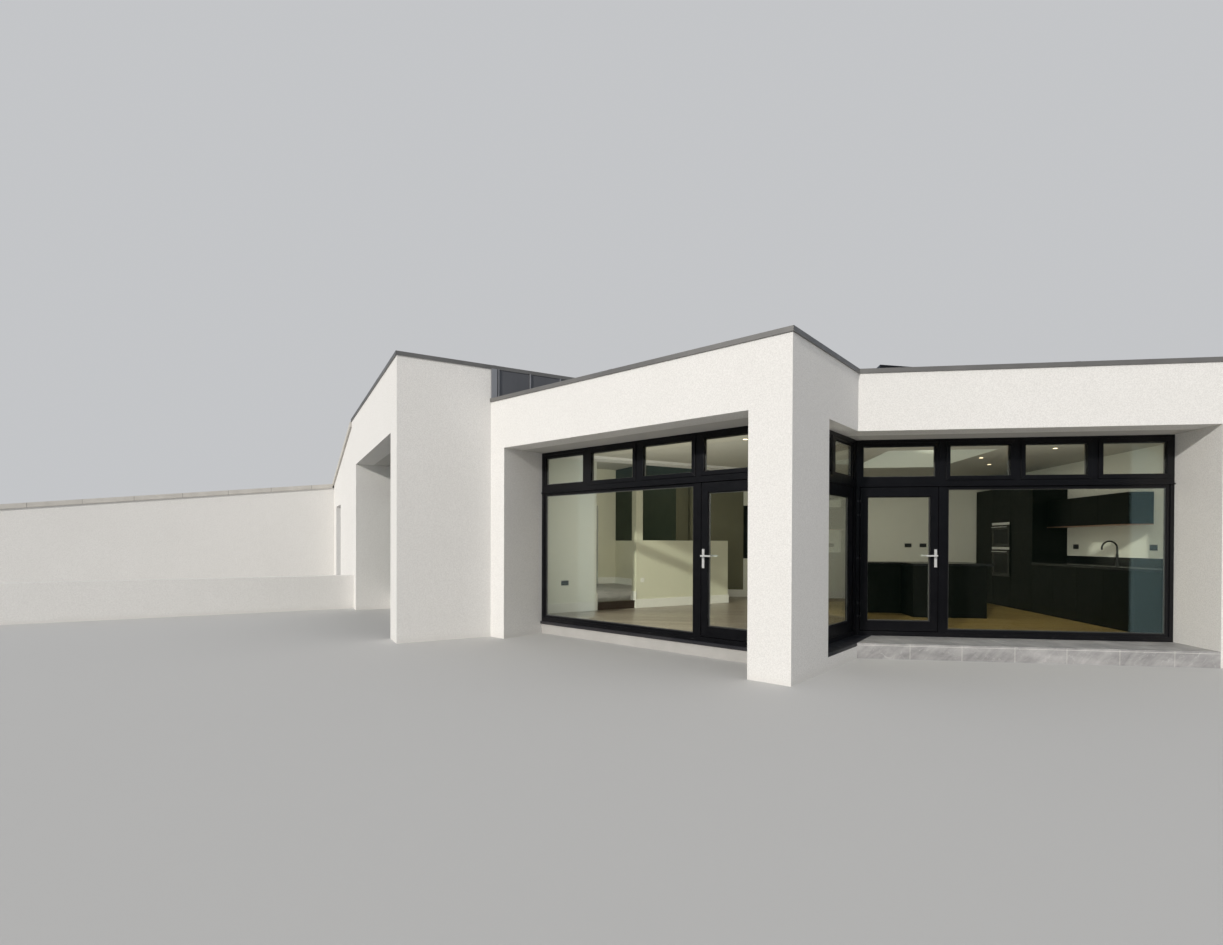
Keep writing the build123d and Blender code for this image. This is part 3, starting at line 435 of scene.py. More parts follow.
def boxInto(bm, plan, x, y, z, bevel=0.0):
    corners = [bm.verts.new(plan @ Vector((a, b, c))) for c in z for b in y for a in x]
    sides = ((0, 2, 3, 1), (4, 5, 7, 6), (0, 1, 5, 4), (2, 6, 7, 3), (0, 4, 6, 2), (1, 3, 7, 5))
    faces = [bm.faces.new([corners[i] for i in side]) for side in sides]
    if bevel:
        roundEdges(bm, faces, bevel)


def around(middle, size):
    return middle - size / 2, middle + size / 2


# points of a block's plan in the part's frame
def onPlan(plan, *places):
    return [plan @ Vector((x, y, 0)) for x, y in places]


# an upright prism on an outline of plan points, with level or sloping ends
def prismInto(bm, points, low, high, bevel=0.0):
    lows, highs = (level if isinstance(level, list) else [level] * len(points) for level in (low, high))
    bottom = [bm.verts.new((p.x, p.y, z)) for p, z in zip(points, lows)]
    top = [bm.verts.new((p.x, p.y, z)) for p, z in zip(points, highs)]
    count = len(points)
    faces = [bm.faces.new(bottom[::-1]), bm.faces.new(top)]
    faces += [bm.faces.new((bottom[i], bottom[(i + 1) % count], top[(i + 1) % count], top[i]))
              for i in range(count)]
    if bevel:
        roundEdges(bm, faces, bevel)


# a flat sheet with holes in it, given thickness along its normal
def sheetInto(bm, plan, outline, holes, thickness):
    loops = [outline] + holes
    flat = [Vector(p) for loop in loops for p in loop]
    front = [bm.verts.new(plan @ p) for p in flat]
    back = [bm.verts.new(plan @ (p + Vector((0, 0, thickness)))) for p in flat]
    for a, b, c in tessellate_polygon([[Vector(p) for p in loop] for loop in loops]):
        bm.faces.new((front[a], front[b], front[c]))
        bm.faces.new((back[c], back[b], back[a]))
    start = 0
    for loop in loops:
        for i in range(len(loop)):
            j = start + (i + 1) % len(loop)
            bm.faces.new((front[start + i], front[j], back[j], back[start + i]))
        start += len(loop)


def ringInto(bm, plan, x, y, z, width):
    boxInto(bm, plan, x, y, (z[0], z[0] + width))
    boxInto(bm, plan, x, y, (z[1] - width, z[1]))
    boxInto(bm, plan, (x[0], x[0] + width), y, (z[0] + width, z[1] - width))
    boxInto(bm, plan, (x[1] - width, x[1]), y, (z[0] + width, z[1] - width))


def addObject(name, data):
    obj = bpy.data.objects.new(name, data)
    bpy.context.scene.collection.objects.link(obj)
    return obj


def meshObject(name, bm, material):
    mesh = bpy.data.meshes.new(name)
    bm.to_mesh(mesh)
    bm.free()
    mesh.materials.append(material)
    return addObject(name, mesh)


def piece(name, bm, material, body="house"):
    bmesh.ops.recalc_face_normals(bm, faces=bm.faces)
    obj = meshObject(name, bm, materials[material])
    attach(obj, body)
    return obj


# a plan moved to x, y and turned, for what stands on it or lies along another wall
def upright(plan, x, y, turn=0.0):
    return plan @ Matrix.Translation((x, y, 0)) @ Matrix.Rotation(radians(turn), 4, "Z")


# the separate sheets of a glass node, each as its corner points
def sheetsOf(node):
    mesh = nodes[node].data
    owner = {}

    def root(key):
        while owner[key] != key:
            key = owner[key]
        return key

    for face in mesh.polygons:
        keys = [tuple(round(v, 5) for v in mesh.vertices[i].co) for i in face.vertices]
        for key in keys:
            owner.setdefault(key, key)
        for key in keys[1:]:
            owner[root(key)] = root(keys[0])
    groups = {}
    for key in owner:
        groups.setdefault(root(key), []).append(Vector(key))
    return [groups[key] for key in sorted(groups)]


# the plan of one upright sheet: x along it, y through it, from its lowest corner
def sheetPlan(points):
    low = min(p.z for p in points)
    start, *others = sorted((p for p in points if p.z < low + 0.001),
                            key=lambda p: (round(p.x, 4), round(p.y, 4)))
    through, along = (p - start for p in sorted(others, key=lambda p: (p - start).length)[:2])
    turned = Matrix((along.normalized(), through.normalized(), Vector((0, 0, 1)))).transposed().to_4x4()
    plan = Matrix.Translation((start.x, start.y, 0)) @ turned
    return plan, along.length, through.length, low, max(p.z for p in points)


glazingUnit = {"sheet": 0.006, "spacerWidth": 0.011, "spacerInset": 0.004, "gasketWidth": 0.008,
    "gasketProud": 0.0035, "shadedLeft": -5.0, "shadedBack": 6.5}


# the panes of the loggia and of the back dim the rooms behind them
def isShaded(place):
    return place.x < glazingUnit["shadedLeft"] or place.y > glazingUnit["shadedBack"]


# sealed units in place of the plain sheets: two sheets, a spacer between them and gaskets outside
def sealedUnits(node, prefix, body="house"):
    panes, shaded, spacers, gaskets = (bmesh.new() for _ in range(4))
    sheet, inset, proud = (glazingUnit[key] for key in ("sheet", "spacerInset", "gasketProud"))
    for points in sheetsOf(node):
        plan, length, depth, low, high = sheetPlan(points)
        sheets = shaded if isShaded(plan.translation) else panes
        for y in ((0, sheet), (depth - sheet, depth)):
            boxInto(sheets, plan, (0, length), y, (low, high))
        ringInto(spacers, plan, (inset, length - inset), (sheet, depth - sheet),
                 (low + inset, high - inset), glazingUnit["spacerWidth"])
        for y in ((-proud, 0), (depth, depth + proud)):
            ringInto(gaskets, plan, (0, length), y, (low, high), glazingUnit["gasketWidth"])
    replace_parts(piece(prefix + "Panes", panes, "clearGlass", body), node)
    if shaded.faces:
        piece(prefix + "ShadedPanes", shaded, "shadedGlass", body)
    piece(prefix + "Spacers", spacers, "spacerMetal", body)
    piece(prefix + "Gaskets", gaskets, "gasketRubber", body)


sealedUnits("window_glass", "window")
sealedUnits("terrace_door_glass", "terraceDoor", "terrace_door")
sealedUnits("kitchen_door_glass", "kitchenDoor", "kitchen_door")

# the opening toplights of both fronts carry a raised sash, mitred at its corners
toplightSash = {"lap": 0.048, "cover": 0.008, "y": (-0.040, -0.0036), "gap": 0.0004, "round": 0.003,
    "above": 2.3, "alongFront": (1.2, 5.0), "depth": (0.7, 0.85)}


def isToplight(place, low):
    (left, right), (near, far) = toplightSash["alongFront"], toplightSash["depth"]
    spots = [front.inverted() @ place for front in (mainPlan, kitchenPlan)]
    return low > toplightSash["above"] and any(left < s.x < right and near < s.y < far for s in spots)


def mitredBar(bm, plan, outline):
    verts = [bm.verts.new(plan @ Vector((a, b, c))) for b in toplightSash["y"] for a, c in outline]
    sides = ((0, 1, 2, 3), (7, 6, 5, 4), (0, 4, 5, 1), (1, 5, 6, 2), (2, 6, 7, 3), (3, 7, 4, 0))
    faces = [bm.faces.new([verts[i] for i in side]) for side in sides]
    roundEdges(bm, faces, toplightSash["round"])


def buildSashes():
    bm = bmesh.new()
    lap, cover, gap = toplightSash["lap"], toplightSash["cover"], toplightSash["gap"]
    for points in sheetsOf("window_glass"):
        plan, length, _, low, high = sheetPlan(points)
        if not isToplight(plan.translation, low):
            continue
        x0, x1, z0, z1 = -lap, length + lap, low - lap, high + lap
        a0, a1, c0, c1 = cover, length - cover, low + cover, high - cover
        mitredBar(bm, plan, ((x0 + gap, z0), (x1 - gap, z0), (a1 - gap, c0), (a0 + gap, c0)))
        mitredBar(bm, plan, ((x0 + gap, z1), (x1 - gap, z1), (a1 - gap, c1), (a0 + gap, c1)))
        mitredBar(bm, plan, ((x0, z0 + gap), (a0, c0 + gap), (a0, c1 - gap), (x0, z1 - gap)))
        mitredBar(bm, plan, ((x1, z0 + gap), (a1, c0 + gap), (a1, c1 - gap), (x1, z1 - gap)))
    piece("toplightSashes", bm, "blackFrame")


buildSashes()
print("stage: sealed glass units built")

# rooflight: a dark frame round its own sheet
rooflight = {"x": (0.81, 2.82), "y": (1.86, 4.51), "high": 4.24, "low": 4.015, "glass": 0.03,
    "frame": 0.075, "bed": 0.004, "sunk": 0.002, "inside": ((1.0, 2.05), (2.63, 4.32)), "lining": 0.006,
    "liningTop": -0.01, "liningFoot": 0.004}


def rooflightLevel(x):
    start, end = rooflight["x"]
    return rooflight["high"] + (rooflight["low"] - rooflight["high"]) * (x - start) / (end - start)


# a box under the rooflight's slope, from a level base if one is given
def slopingBox(bm, x, y, over, under=0.0, base=None):
    corners = ((x[0], y[0]), (x[1], y[0]), (x[1], y[1]), (x[0], y[1]))
    levels = [rooflightLevel(a) for a, _ in corners]
    low = [z + under for z in levels] if base is None else base
    prismInto(bm, onPlan(kitchenPlan, *corners), low, [z + over for z in levels])


def buildRooflight():
    x, y, edge, glass = rooflight["x"], rooflight["y"], rooflight["frame"], rooflight["glass"]
    inner = (x[0] + edge, x[1] - edge), (y[0] + edge, y[1] - edge)
    sheet, frameBm = bmesh.new(), bmesh.new()
    slopingBox(sheet, *inner, glass - rooflight["sunk"], rooflight["bed"])
    for xs, ys in ((x, (y[0], y[0] + edge)), (x, (y[1] - edge, y[1])),
                   ((x[0], x[0] + edge), inner[1]), ((x[1] - edge, x[1]), inner[1])):
        slopingBox(frameBm, xs, ys, glass)
    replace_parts(piece("rooflightPane", sheet, "clearGlass"), "rooflight_glass")
    piece("rooflightFrame", frameBm, "blackFrame")


buildRooflight()

# the stone step: tiles bedded on their own core
step = {"back": 0.683, "end": 4.137, "slant": 0.369, "top": 0.195, "joint": 0.005, "tread": 0.022,
    "joints": (0.644, 1.26, 1.874, 2.464, 3.052, 3.65), "riser": 0.012, "sunk": 0.003, "sunkEnd": 0.006,
    "bevel": 0.0015}


def buildStep(back, end, slant, top, joint, tread, joints, riser, sunk, sunkEnd, bevel):
    tiles, core = bmesh.new(), bmesh.new()
    half, slope, stops = joint / 2, slant / back, [0.0, *joints, end]
    for i, (left, right) in enumerate(zip(stops, stops[1:])):
        near = left + (half if i else 0.0)
        last = right - (half if i < len(joints) else 0.0)
        far, first = (near, near) if i else (max(near, slant), near + slope * riser)
        prismInto(tiles, onPlan(kitchenPlan, (near, 0.0), (last, 0.0), (last, back), (far, back)),
                  top - tread, top, bevel)
        prismInto(tiles, onPlan(kitchenPlan, (near, 0.0), (last, 0.0), (last, riser), (first, riser)),
                  0.0, top - tread - joint, bevel)
    prismInto(core, onPlan(kitchenPlan, (sunkEnd, sunk), (end, sunk), (end, back), (slant, back)),
              0.0, top - sunk)
    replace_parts(piece("stepTiles", tiles, "slateTile"), "door_step")
    piece("stepGrout", core, "jointMortar")


buildStep(**step)
print("stage: rooflight and step built")

# faces of the rooms' walls: the block's plan, the x and y of a corner and the turn, with x along the face
wallFaces = {name: upright(*face) for name, face in {
    "back": (kitchenPlan, 0, 6.365), "right": (kitchenPlan, 4.787, 6.365, -90),
    "rear": (tallPlan, 0, 5.227), "end": (tallPlan, 6.65, 5.227, -90),
    "endHead": (tallPlan, 6.65, 2.4, -90),
    "outer": (tallPlan, 7.0, 2.4, 90), "outerHead": (tallPlan, 7.0, 0.0, 90),
    "jamb": (tallPlan, 6.65, 2.4), "front": (tallPlan, 1.747, 0.35, 180),
    "frontJamb": (tallPlan, 1.747, 0.0, 90), "frontHead": (tallPlan, 6.65, 0.35, 180)}.items()}
levels = {"floor": 0.195, "cill": 1.095, "rail": 1.51, "window": 2.345, "garden": 2.45, "head": 2.905,
    "ceiling": 2.95, "tall": 3.45}

# plaster linings on the room faces of the outer walls: face, start, end, foot, top and holes
lining = {
    "wall": (("back", -0.9, 0.9, "floor", "cill"), ("back", -0.9, 0.9, "window", "ceiling"),
             ("back", 0.9, 4.787, "floor", "ceiling"), ("right", 0.0, 5.572, "floor", "ceiling"),
             ("front", 0.0, 0.887, "floor", "tall"), ("frontJamb", 0.0, 0.35, "floor", "head"),
             ("frontHead", 0.0, 4.903, "head", "tall")),
    "warm": (("end", 0.0, 2.827, "floor", "rail"), ("rear", 0.86, 4.3, "floor", "tall", (1.5, 3.3)),
             ("rear", 4.3, 6.1, "garden", "tall"), ("rear", 6.1, 6.65, "floor", "tall")),
    # these linings stand in for the shade of the deep rooms: painted shade
    "dim": (("back", -2.265, -0.9, "floor", "ceiling"), ("outer", 0.0, 0.124, "floor", "ceiling"),
            ("outerHead", 0.0, 2.4, "head", "ceiling"), ("jamb", 0.0, 0.35, "floor", "head")),
    # the end wall above the rail and its head are lined near-black: painted shade of the dark hall
    "dark": (("end", 0.0, 2.827, "rail", "tall"), ("endHead", 0.0, 2.05, "head", "tall")),
    "finish": {"wall": "wallPaint", "warm": "warmPaint", "dim": "shadeDimmedPaint", "dark": "paintedShadePanel"},
    "thickness": 0.003}


# a lining lies on its face, and its thickness comes out towards the room; a hole reaches from cill to head
def liningInto(bm, face, start, stop, foot, top, *holes):
    plan = wallFaces[face] @ Matrix.Rotation(radians(90), 4, "X")
    low, high, cill, head = (levels[name] for name in (foot, top, "cill", "window"))
    outline = [(start, low, 0), (stop, low, 0), (stop, high, 0), (start, high, 0)]
    loops = [[(a, cill, 0), (a, head, 0), (b, head, 0), (b, cill, 0)] for a, b in holes]
    sheetInto(bm, plan, outline, loops, lining["thickness"])


def buildLinings():
    for name, finish in lining["finish"].items():
        bm = bmesh.new()
        for run in lining[name]:
            liningInto(bm, *run)
        piece(name + "Linings", bm, finish)


# where the line at one depth behind the return crosses one behind the kitchen front
def crossing(mainX, kitchenY):
    start = mainPlan @ Vector((mainX, 0, 0))
    along = mainPlan.to_3x3() @ Vector((0, 1, 0))
    level = (kitchenPlan @ Vector((0, kitchenY, 0))).y
    return start + along * ((level - start.y) / along.y)


# ceilings: corners on each block's plan, the depth of the kitchen's corner and the hall's x and y
ceiling = {"main": ((0.313, 0.86), (4.399, 0.86), (4.399, 1.014), (4.572, 1.014)),
    "kitchen": ((4.787, 0.793), (4.787, 6.365)), "tall": ((7.0, 2.524), (7.0, 0.0)),
    "hall": ((0.86, 6.65), (0.35, 5.227)), "drop": 0.003, "thickness": 0.0029}


def buildCeilings():
    bm, drop = bmesh.new(), ceiling["drop"]
    corner = crossing(ceiling["main"][-1][0], ceiling["kitchen"][0][1])
    outline = [*onPlan(mainPlan, *ceiling["main"]), corner, *onPlan(kitchenPlan, *ceiling["kitchen"]),
               *onPlan(tallPlan, *ceiling["tall"])]
    (x0, y0), (x1, y1) = rooflight["inside"]
    hole = onPlan(kitchenPlan, (x0, y0), (x0, y1), (x1, y1), (x1, y0))
    sheetInto(bm, Matrix.Translation((0, 0, levels["ceiling"] - drop)), outline, [hole],
              ceiling["thickness"])
    boxInto(bm, tallPlan, *ceiling["hall"], (levels["tall"] - drop, levels["tall"]))
    piece("ceilings", bm, "ceilingPaint")
    shaft, thick = bmesh.new(), rooflight["lining"]
    for xs, ys in (((x0, x0 + thick), (y0, y1)), ((x1 - thick, x1), (y0, y1)),
                   ((x0 + thick, x1 - thick), (y0, y0 + thick)),
                   ((x0 + thick, x1 - thick), (y1 - thick, y1))):
        slopingBox(shaft, xs, ys, rooflight["liningTop"], base=levels["ceiling"] - rooflight["liningFoot"])
    piece("rooflightShaft", shaft, "wallPaint")


buildLinings()
buildCeilings()

# skirting boards: face, start, end and rise of the floor; those of the inner wall and its ends apart
skirting = {"height": 0.17, "thick": 0.018, "start": 0.003, "bevel": 0.003, "hallRise": 0.15,
    "runs": (("back", -2.265, 4.18, 0), ("outer", 0.0, 0.124, 0), ("jamb", 0.0, 0.35, 0),
        ("end", 0.0, 2.827, 0.15), ("rear", 1.13, 4.3, 0.15), ("rear", 6.1, 6.65, 0.15),
        ("front", 0.0, 0.887, 0), ("frontJamb", 0.0, 0.35, 0)), "innerWall": (0.85, 1.01),
    "innerRuns": ((2.257, 3.72), (4.593, 6.89)),
    "innerEnds": (((3.72, 3.738), 0.515), ((4.575, 4.593), 0.515), ((6.89, 6.908), 0.365))}


def buildSkirting(height, thick, start, bevel, hallRise, runs, innerWall, innerRuns, innerEnds):
    bm, (front, back) = bmesh.new(), innerWall
    foot, top = levels["floor"], levels["floor"] + height
    y = (-start - thick, -start)
    for face, first, last, rise in runs:
        boxInto(bm, wallFaces[face], (first, last), y, (foot + rise, top + rise), bevel)
    for x in innerRuns:
        boxInto(bm, tallPlan, x, (front - thick, front), (foot, top), bevel)
        boxInto(bm, tallPlan, x, (back, back + thick), (foot + hallRise, top + hallRise), bevel)
    for x, high in innerEnds:
        boxInto(bm, tallPlan, x, (front - thick, back + thick), (foot, high), bevel)
    piece("skirtingBoards", bm, "whiteTrim")


buildSkirting(**skirting)
print("stage: linings, ceilings and skirting built")

# oven fronts: steel strips, a bar on two stems and a dark window in each; depths before the face
ovenFront = {"y": (4.880, 5.570), "face": 4.169, "strip": 0.048, "fronts": ((0.803, 1.399), (1.407, 1.900)),
    "stripDepth": 0.002, "bar": (0.046, 0.034), "barInset": 0.06, "barDrop": (0.050, 0.038),
    "stems": (0.09, -0.11), "stemReach": 0.036, "stemWidth": 0.02, "stemDrop": (0.049, 0.039),
    "glassDepth": 0.0015, "glassInset": 0.07, "glassDrop": 0.09}


def buildOvens(y, face, strip, fronts, stripDepth, bar, barInset, barDrop, stems, stemReach, stemWidth,
               stemDrop, glassDepth, glassInset, glassDrop):
    strips, trims = bmesh.new(), bmesh.new()
    for low, top in fronts:
        under = top - strip
        boxInto(strips, kitchenPlan, (face - stripDepth, face), y, (under, top), bevel=0.0005)
        boxInto(strips, kitchenPlan, [face - depth for depth in bar], (y[0] + barInset, y[1] - barInset),
                [under - drop for drop in barDrop], bevel=0.003)
        for start in (y[0] + stems[0], y[1] + stems[1]):
            boxInto(strips, kitchenPlan, (face - stemReach, face), (start, start + stemWidth),
                    [under - drop for drop in stemDrop], bevel=0.002)
        boxInto(trims, kitchenPlan, (face - glassDepth, face), (y[0] + glassInset, y[1] - glassInset),
                (low + glassInset, under - glassDrop))
    piece("ovenHandles", strips, "handleMetal")
    piece("ovenWindows", trims, "gasketRubber")


buildOvens(**ovenFront)

# ceiling lamps: a chamfered ring and a shallow lamp inside it
downlight = {"ring": 0.045, "hole": 0.034, "drop": 0.004, "chamfer": 0.002, "lamp": 0.001, "dome": 0.003,
    "sides": 28,
    "places": ((kitchenPlan, 3.39, 4.01), (kitchenPlan, 2.82, 3.05), (kitchenPlan, 3.45, 2.07),
        (Matrix(), -0.33, 1.83), (Matrix(), -0.74, 4.82))}


def circleInto(bm, centre, radius, level):
    turns = [radians(360 * i / downlight["sides"]) for i in range(downlight["sides"])]
    return [bm.verts.new((centre.x + radius * cos(turn), centre.y + radius * sin(turn), level))
            for turn in turns]


def buildDownlights(ring, hole, drop, chamfer, lamp, dome, sides, places):
    rings, lamps = bmesh.new(), bmesh.new()
    level = levels["ceiling"] - ceiling["drop"]
    for plan, x, y in places:
        centre = plan @ Vector((x, y, 0))
        loops = [circleInto(rings, centre, radius, height)
                 for radius, height in ((ring, level), (ring - chamfer, level - drop),
                                        (hole + chamfer, level - drop), (hole, level))]
        for a, b in zip(loops, loops[1:] + loops[:1]):
            for i in range(sides):
                rings.faces.new((a[i], a[(i + 1) % sides], b[(i + 1) % sides], b[i]))
        disc = circleInto(lamps, centre, hole, level - lamp)
        tip = lamps.verts.new((centre.x, centre.y, level - dome))
        for i in range(sides):
            lamps.faces.new((disc[i], disc[(i + 1) % sides], tip))
        lamps.faces.new(disc[::-1])
    piece("downlightRings", rings, "whiteTrim")
    piece("downlightLamps", lamps, "lampDiffuser")


buildDownlights(**downlight)

# sockets with two rockers and a switch with one: the wall as plan, x, y and turn, then place and level
sockets = {"plate": (0.146, 0.086), "switchPlate": (0.086, 0.086), "depth": 0.009, "rocker": (0.024, 0.016),
    "rockerProud": 0.003, "rockerLevel": 0.024, "rockerSide": 0.25,
    "places": ((tallPlan, 0, 0.85, 0, 3.07, 0.729), (kitchenPlan, 4.784, 0, -90, -3.839, 1.42),
        (kitchenPlan, 4.784, 0, -90, -2.001, 1.42), (kitchenPlan, 0, 6.362, 0, 2.761, 1.423),
        (kitchenPlan, 0, 6.362, 0, 3.081, 1.423)),
    "switch": (tallPlan, 0, 0.85, 0, 4.737, 0.736)}


def plateInto(bm, size, sides, wall, x, y, turn, along, level):
    plan, depth, (width, height) = upright(wall, x, y, turn), sockets["depth"], sockets["rocker"]
    boxInto(bm, plan, around(along, size[0]), (-depth, 0), around(level, size[1]), bevel=0.003)
    for side in sides:
        boxInto(bm, plan, around(along + side * size[0], width), (-depth - sockets["rockerProud"], -depth),
                around(level + sockets["rockerLevel"], height), bevel=0.0015)


def buildSockets():
    dark, pale, side = bmesh.new(), bmesh.new(), sockets["rockerSide"]
    for place in sockets["places"]:
        plateInto(dark, sockets["plate"], (-side, side), *place)
    plateInto(pale, sockets["switchPlate"], (0.0,), *sockets["switch"])
    piece("darkSockets", dark, "socketMetal")
    piece("paleSocket", pale, "whiteTrim")


buildSockets()

# copper edge under the wall cupboards
copperEdge = {"x": (4.437, 4.784), "y": (2.009, 4.096), "z": (1.768, 1.779), "bevel": 0.001}
edgeBm = bmesh.new()
boxInto(edgeBm, kitchenPlan, **copperEdge)
piece("cupboardUnderside", edgeBm, "copperEdge")

# stone floor of the hall, one step above the boards of the rooms
hall = {"x": (1.13, 6.647), "y": (1.013, 5.224), "doorway": (3.741, 4.572), "front": 0.87, "top": 0.345,
    "tile": 0.6, "half": 0.002, "bed": 0.0025, "tileDepth": 0.02, "nosing": 0.02, "tread": 0.022,
    "bedding": 0.001}


# spans of whole tiles with half a joint at either end, and a cut one that is wider than its joints
def tileSpans(start, stop, size, half):
    spans = []
    while start < stop - half * 4:
        spans.append((start + half, min(start + size, stop) - half))
        start += size
    return spans


def buildHallFloor(x, y, doorway, front, top, tile, half, bed, tileDepth, nosing, tread, bedding):
    tiles, grout, riser = bmesh.new(), bmesh.new(), bmesh.new()
    foot, under = levels["floor"], top - tread
    for xs in tileSpans(*x, tile, half):
        for ys in tileSpans(*y, tile, half):
            boxInto(tiles, tallPlan, xs, ys, (top - tileDepth, top), bevel=0.001)
    boxInto(grout, tallPlan, x, y, (foot, top - bed))
    boxInto(riser, tallPlan, doorway, (front, y[0]), (foot + bedding, under), bevel=0.001)
    boxInto(riser, tallPlan, doorway, (front - nosing, y[0]), (under, top), bevel=0.004)
    piece("hallTiles", tiles, "slateTile")
    piece("hallGrout", grout, "jointMortar")
    piece("hallStep", riser, "stepTimber")


buildHallFloor(**hall)
print("stage: room details built")

# straps over the joints of the caps: plan, places along it and the cap's foot
capDetail = {"width": 0.06, "thick": 0.0016, "outer": -0.018, "inner": 0.368, "height": 0.056, "lap": 0.001,
    "straps": ((mainPlan, (2.45,), 3.64), (kitchenPlan, (2.55,), 3.64), (tallPlan, (1.45, 3.95), 4.158),
        (upright(tallPlan, 0, 5.577, -90), (1.9, 3.8), 4.158))}


def buildStraps(width, thick, outer, inner, height, lap, straps):
    bm = bmesh.new()
    for plan, places, base in straps:
        foot, top = base - lap, base + height
        for place in places:
            x = around(place, width)
            boxInto(bm, plan, x, (outer - thick, inner + thick), (top, top + thick))
            boxInto(bm, plan, x, (outer - thick, outer), (foot, top))
            boxInto(bm, plan, x, (inner, inner + thick), (foot, top))
    piece("capStraps", bm, "capMetal")


buildStraps(**capDetail)

# mortar between the garden wall's sloping coping stones, dark as painted shade in the joints
mortar = {"corner": 4.385, "turn": 217.2, "first": 0.585, "pitch": 0.995, "length": 7.58, "high": 3.01,
    "low": 2.12, "joint": 0.012, "y": (-0.282, 0.032), "height": 0.108}


def buildMortar(corner, turn, first, pitch, length, high, low, joint, y, height):
    bm, x, fall = bmesh.new(), first, (high - low) / length
    start = rakingPlan @ Vector((corner, 0, 0))
    square = planFrame(start.x, start.y, turn)
    while x < length:
        level = high - fall * x
        boxInto(bm, square, around(x, joint), y, (level, level + height))
        x += pitch
    piece("copingMortar", bm, "shadedCopingJoint")


buildMortar(**mortar)

# small covers over the drain slots in the bottom rails: plan, depth, places and height over the house's
drain = {"size": (0.034, 0.008), "proud": 0.0025, "level": 0.222,
    "rows": ((mainPlan, 0.78, (0.9, 1.7, 2.5, 3.2), 0.0),
        (kitchenPlan, 0.713, (1.55, 2.1, 2.7, 3.3, 3.8), 0.0),
        (upright(tallPlan, 0.78, 5.577, -90), 0.0, (1.0, 1.9, 2.8, 3.7, 4.6), 0.105))}


def buildDrains(size, proud, level, rows):
    bm = bmesh.new()
    for plan, y, places, rise in rows:
        for x in places:
            boxInto(bm, plan, around(x, size[0]), (y - proud, y), around(level + rise, size[1]),
                    bevel=0.001)
    piece("drainCovers", bm, "gasketRubber")


buildDrains(**drain)
print("stage: outside details built")

# rounded arrises on the carried-over solids, by finish
arrises = {"whiteRender": 0.004, "blackFrame": 0.003, "capMetal": 0.003, "unitFronts": 0.0012,
    "copingConcrete": 0.006}
for finishName, width in arrises.items():
    for name in nodeFinish[finishName].split():
        bevel = nodes[name].modifiers.new("arris", "BEVEL")
        bevel.width = width
        bevel.segments = 2
        bevel.limit_method = "ANGLE"
        bevel.angle_limit = radians(40)
        bevel.use_clamp_overlap = True

# floor and world: mirrors and panes look into a darker sky than the one that lights the house
studio = {"floor": 45.0, "floorTone": (0.55, 0.545, 0.535), "paler": 1.03, "floorRough": 0.9,
    "skyTone": (0.82, 0.835, 0.86), "skyStrength": 0.67, "mirrorLow": (0.010, 0.016, 0.009),
    "mirrorHigh": (0.42, 0.48, 0.58), "mirrorLevels": (0.06, 0.30)}


def hideFrom(obj, *rays):
    for ray in rays:
        setattr(obj, "visible_" + ray, False)


def buildStudio(floor, floorTone, paler, floorRough, skyTone, skyStrength, mirrorLow, mirrorHigh,
                mirrorLevels):
    bm = bmesh.new()
    bm.faces.new([bm.verts.new((x * floor, y * floor, 0)) for x, y in ((-1, -1), (1, -1), (1, 1), (-1, 1))])
    material, tree, shader = startMaterial("studioFloor")
    clouds = useGroup(tree, mottle, Scale=0.3, Contrast=0.5).outputs[0]
    pale = tuple(v * paler for v in floorTone)
    setInputs(tree, shader, {
        "Base Color": mixColour(tree, clouds, floorTone, pale), "Roughness": floorRough})
    floorObj = meshObject("studioFloor", bm, material)
    hideFrom(floorObj, "glossy", "transmission")
    world = bpy.data.worlds.new("studio")
    bpy.context.scene.world = world
    world.use_nodes = True
    sky = world.node_tree
    path = sky.nodes.new("ShaderNodeLightPath").outputs
    seen = calculate(sky, "MAXIMUM", path["Is Camera Ray"], path["Is Diffuse Ray"])
    place = sky.nodes.new("ShaderNodeTexCoord").outputs["Generated"]
    height = addNode(sky, "ShaderNodeSeparateXYZ", {0: place}).outputs["Z"]
    mirrored = mixColour(sky, remap(sky, height, mirrorLevels, smooth=True), mirrorLow, mirrorHigh)
    lit = tuple(v * skyStrength for v in skyTone)
    setInputs(sky, sky.nodes["Background"], {"Color": mixColour(sky, seen, mirrored, lit)})
    bpy.context.scene.view_settings.view_transform = "Standard"


buildStudio(**studio)

sunLook = {"from": (-0.477, -0.879, 0.37), "strength": 2.22, "softness": 2.0, "colour": (1.0, 0.965, 0.91)}

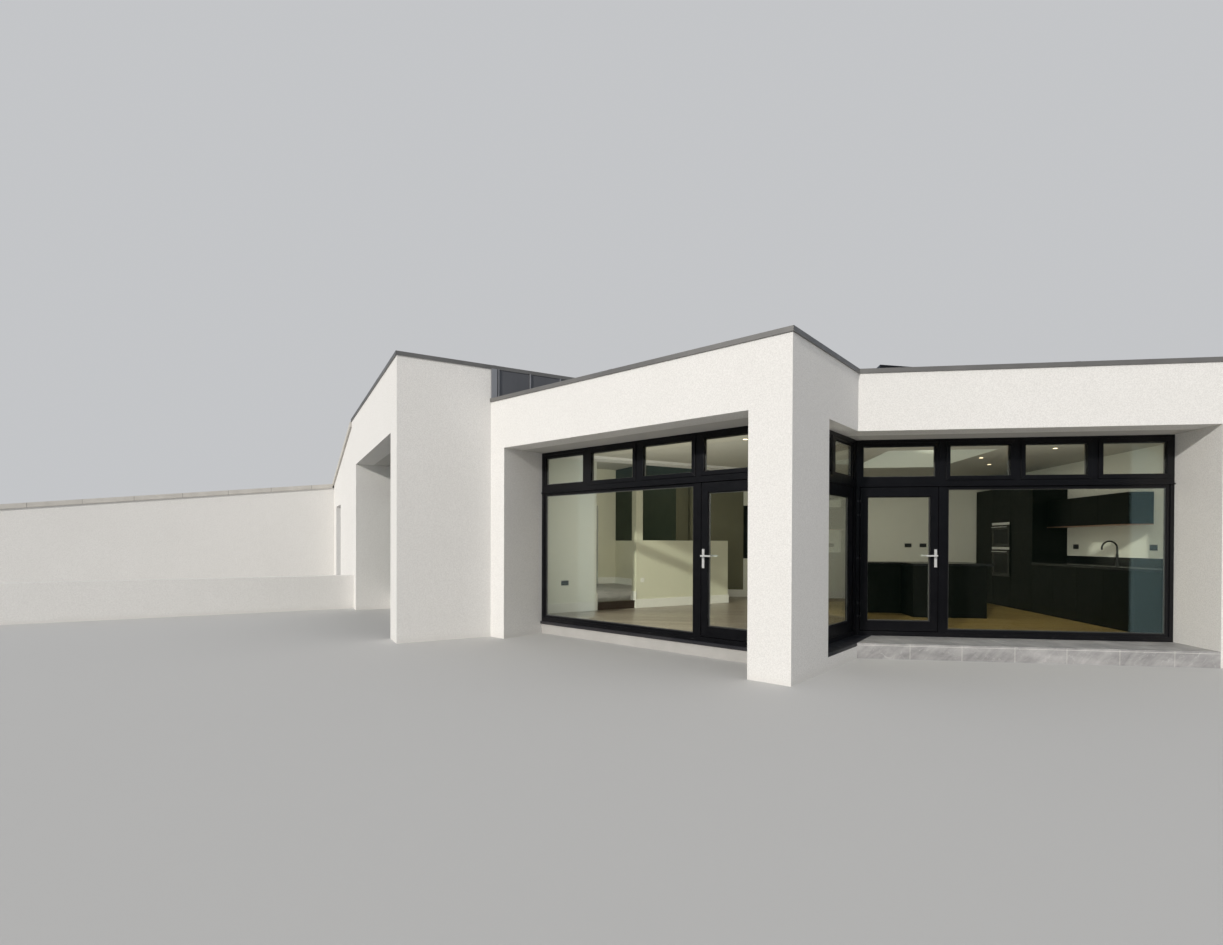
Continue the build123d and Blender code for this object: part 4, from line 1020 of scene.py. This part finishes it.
# soft light of the windows and ceilings inside the rooms: place, where it points, width, height and power
roomLamps = {
    "kitchenFill": ((3.6, 4.6, 2.90), (0, 0, -1), 3.2, 3.2, 20.0),
    "kitchenWindow": ((3.3, 2.1, 1.70), (0, 1, 0), 3.4, 2.0, 20.0),
    "terraceWindow": ((-1.48, 1.48, 1.60), (0.5417, 0.8406, 0), 3.5, 2.1, 47.0),
    "hallWindow": ((-2.90, 4.80, 2.30), (-0.6046, 0.7965, -0.1), 2.4, 1.2, 68.0)}
roomLampColour = (1.0, 0.95, 0.87)


def addLamp(name, kind, axis, direction, **settings):
    lamp = bpy.data.lights.new(name, kind)
    for key, value in settings.items():
        setattr(lamp, key, value)
    obj = addObject(name, lamp)
    obj.rotation_mode = "QUATERNION"
    obj.rotation_quaternion = Vector(direction).to_track_quat(axis, "Y")
    return obj


addLamp("softSun", "SUN", "Z", sunLook["from"], energy=sunLook["strength"],
        angle=radians(sunLook["softness"]), color=sunLook["colour"])
for name, (place, towards, width, height, power) in roomLamps.items():
    lampObj = addLamp(name, "AREA", "-Z", towards, shape="RECTANGLE", size=width, size_y=height,
                      energy=power, color=roomLampColour)
    lampObj.location = place
    hideFrom(lampObj, "camera", "glossy", "transmission")

viewpoint = {"eye": (-1.0797, -6.8888, 1.4827), "heading": (-0.1331, 0.9911), "down": 0.38, "roll": 0.19,
    "lens": 17.63, "shiftY": 0.0598}


def buildCamera(eye, heading, down, roll, lens, shiftY):
    camera = bpy.data.cameras.new("photoView")
    camera.sensor_width = 36.0
    camera.sensor_fit = "HORIZONTAL"
    camera.lens = lens
    camera.shift_y = shiftY
    camera.clip_end = 200.0
    level, up = Vector((*heading, 0)).normalized(), Vector((0, 0, 1))
    ahead = level * cos(radians(down)) - up * sin(radians(down))
    right = ahead.cross(up).normalized()
    turn = Matrix((right, right.cross(ahead), -ahead)).transposed().to_4x4()
    obj = addObject("photoView", camera)
    obj.matrix_world = Matrix.Translation(eye) @ turn @ Matrix.Rotation(radians(roll), 4, "Z")
    bpy.context.scene.camera = obj


buildCamera(**viewpoint)
print("stage: studio and camera ready")
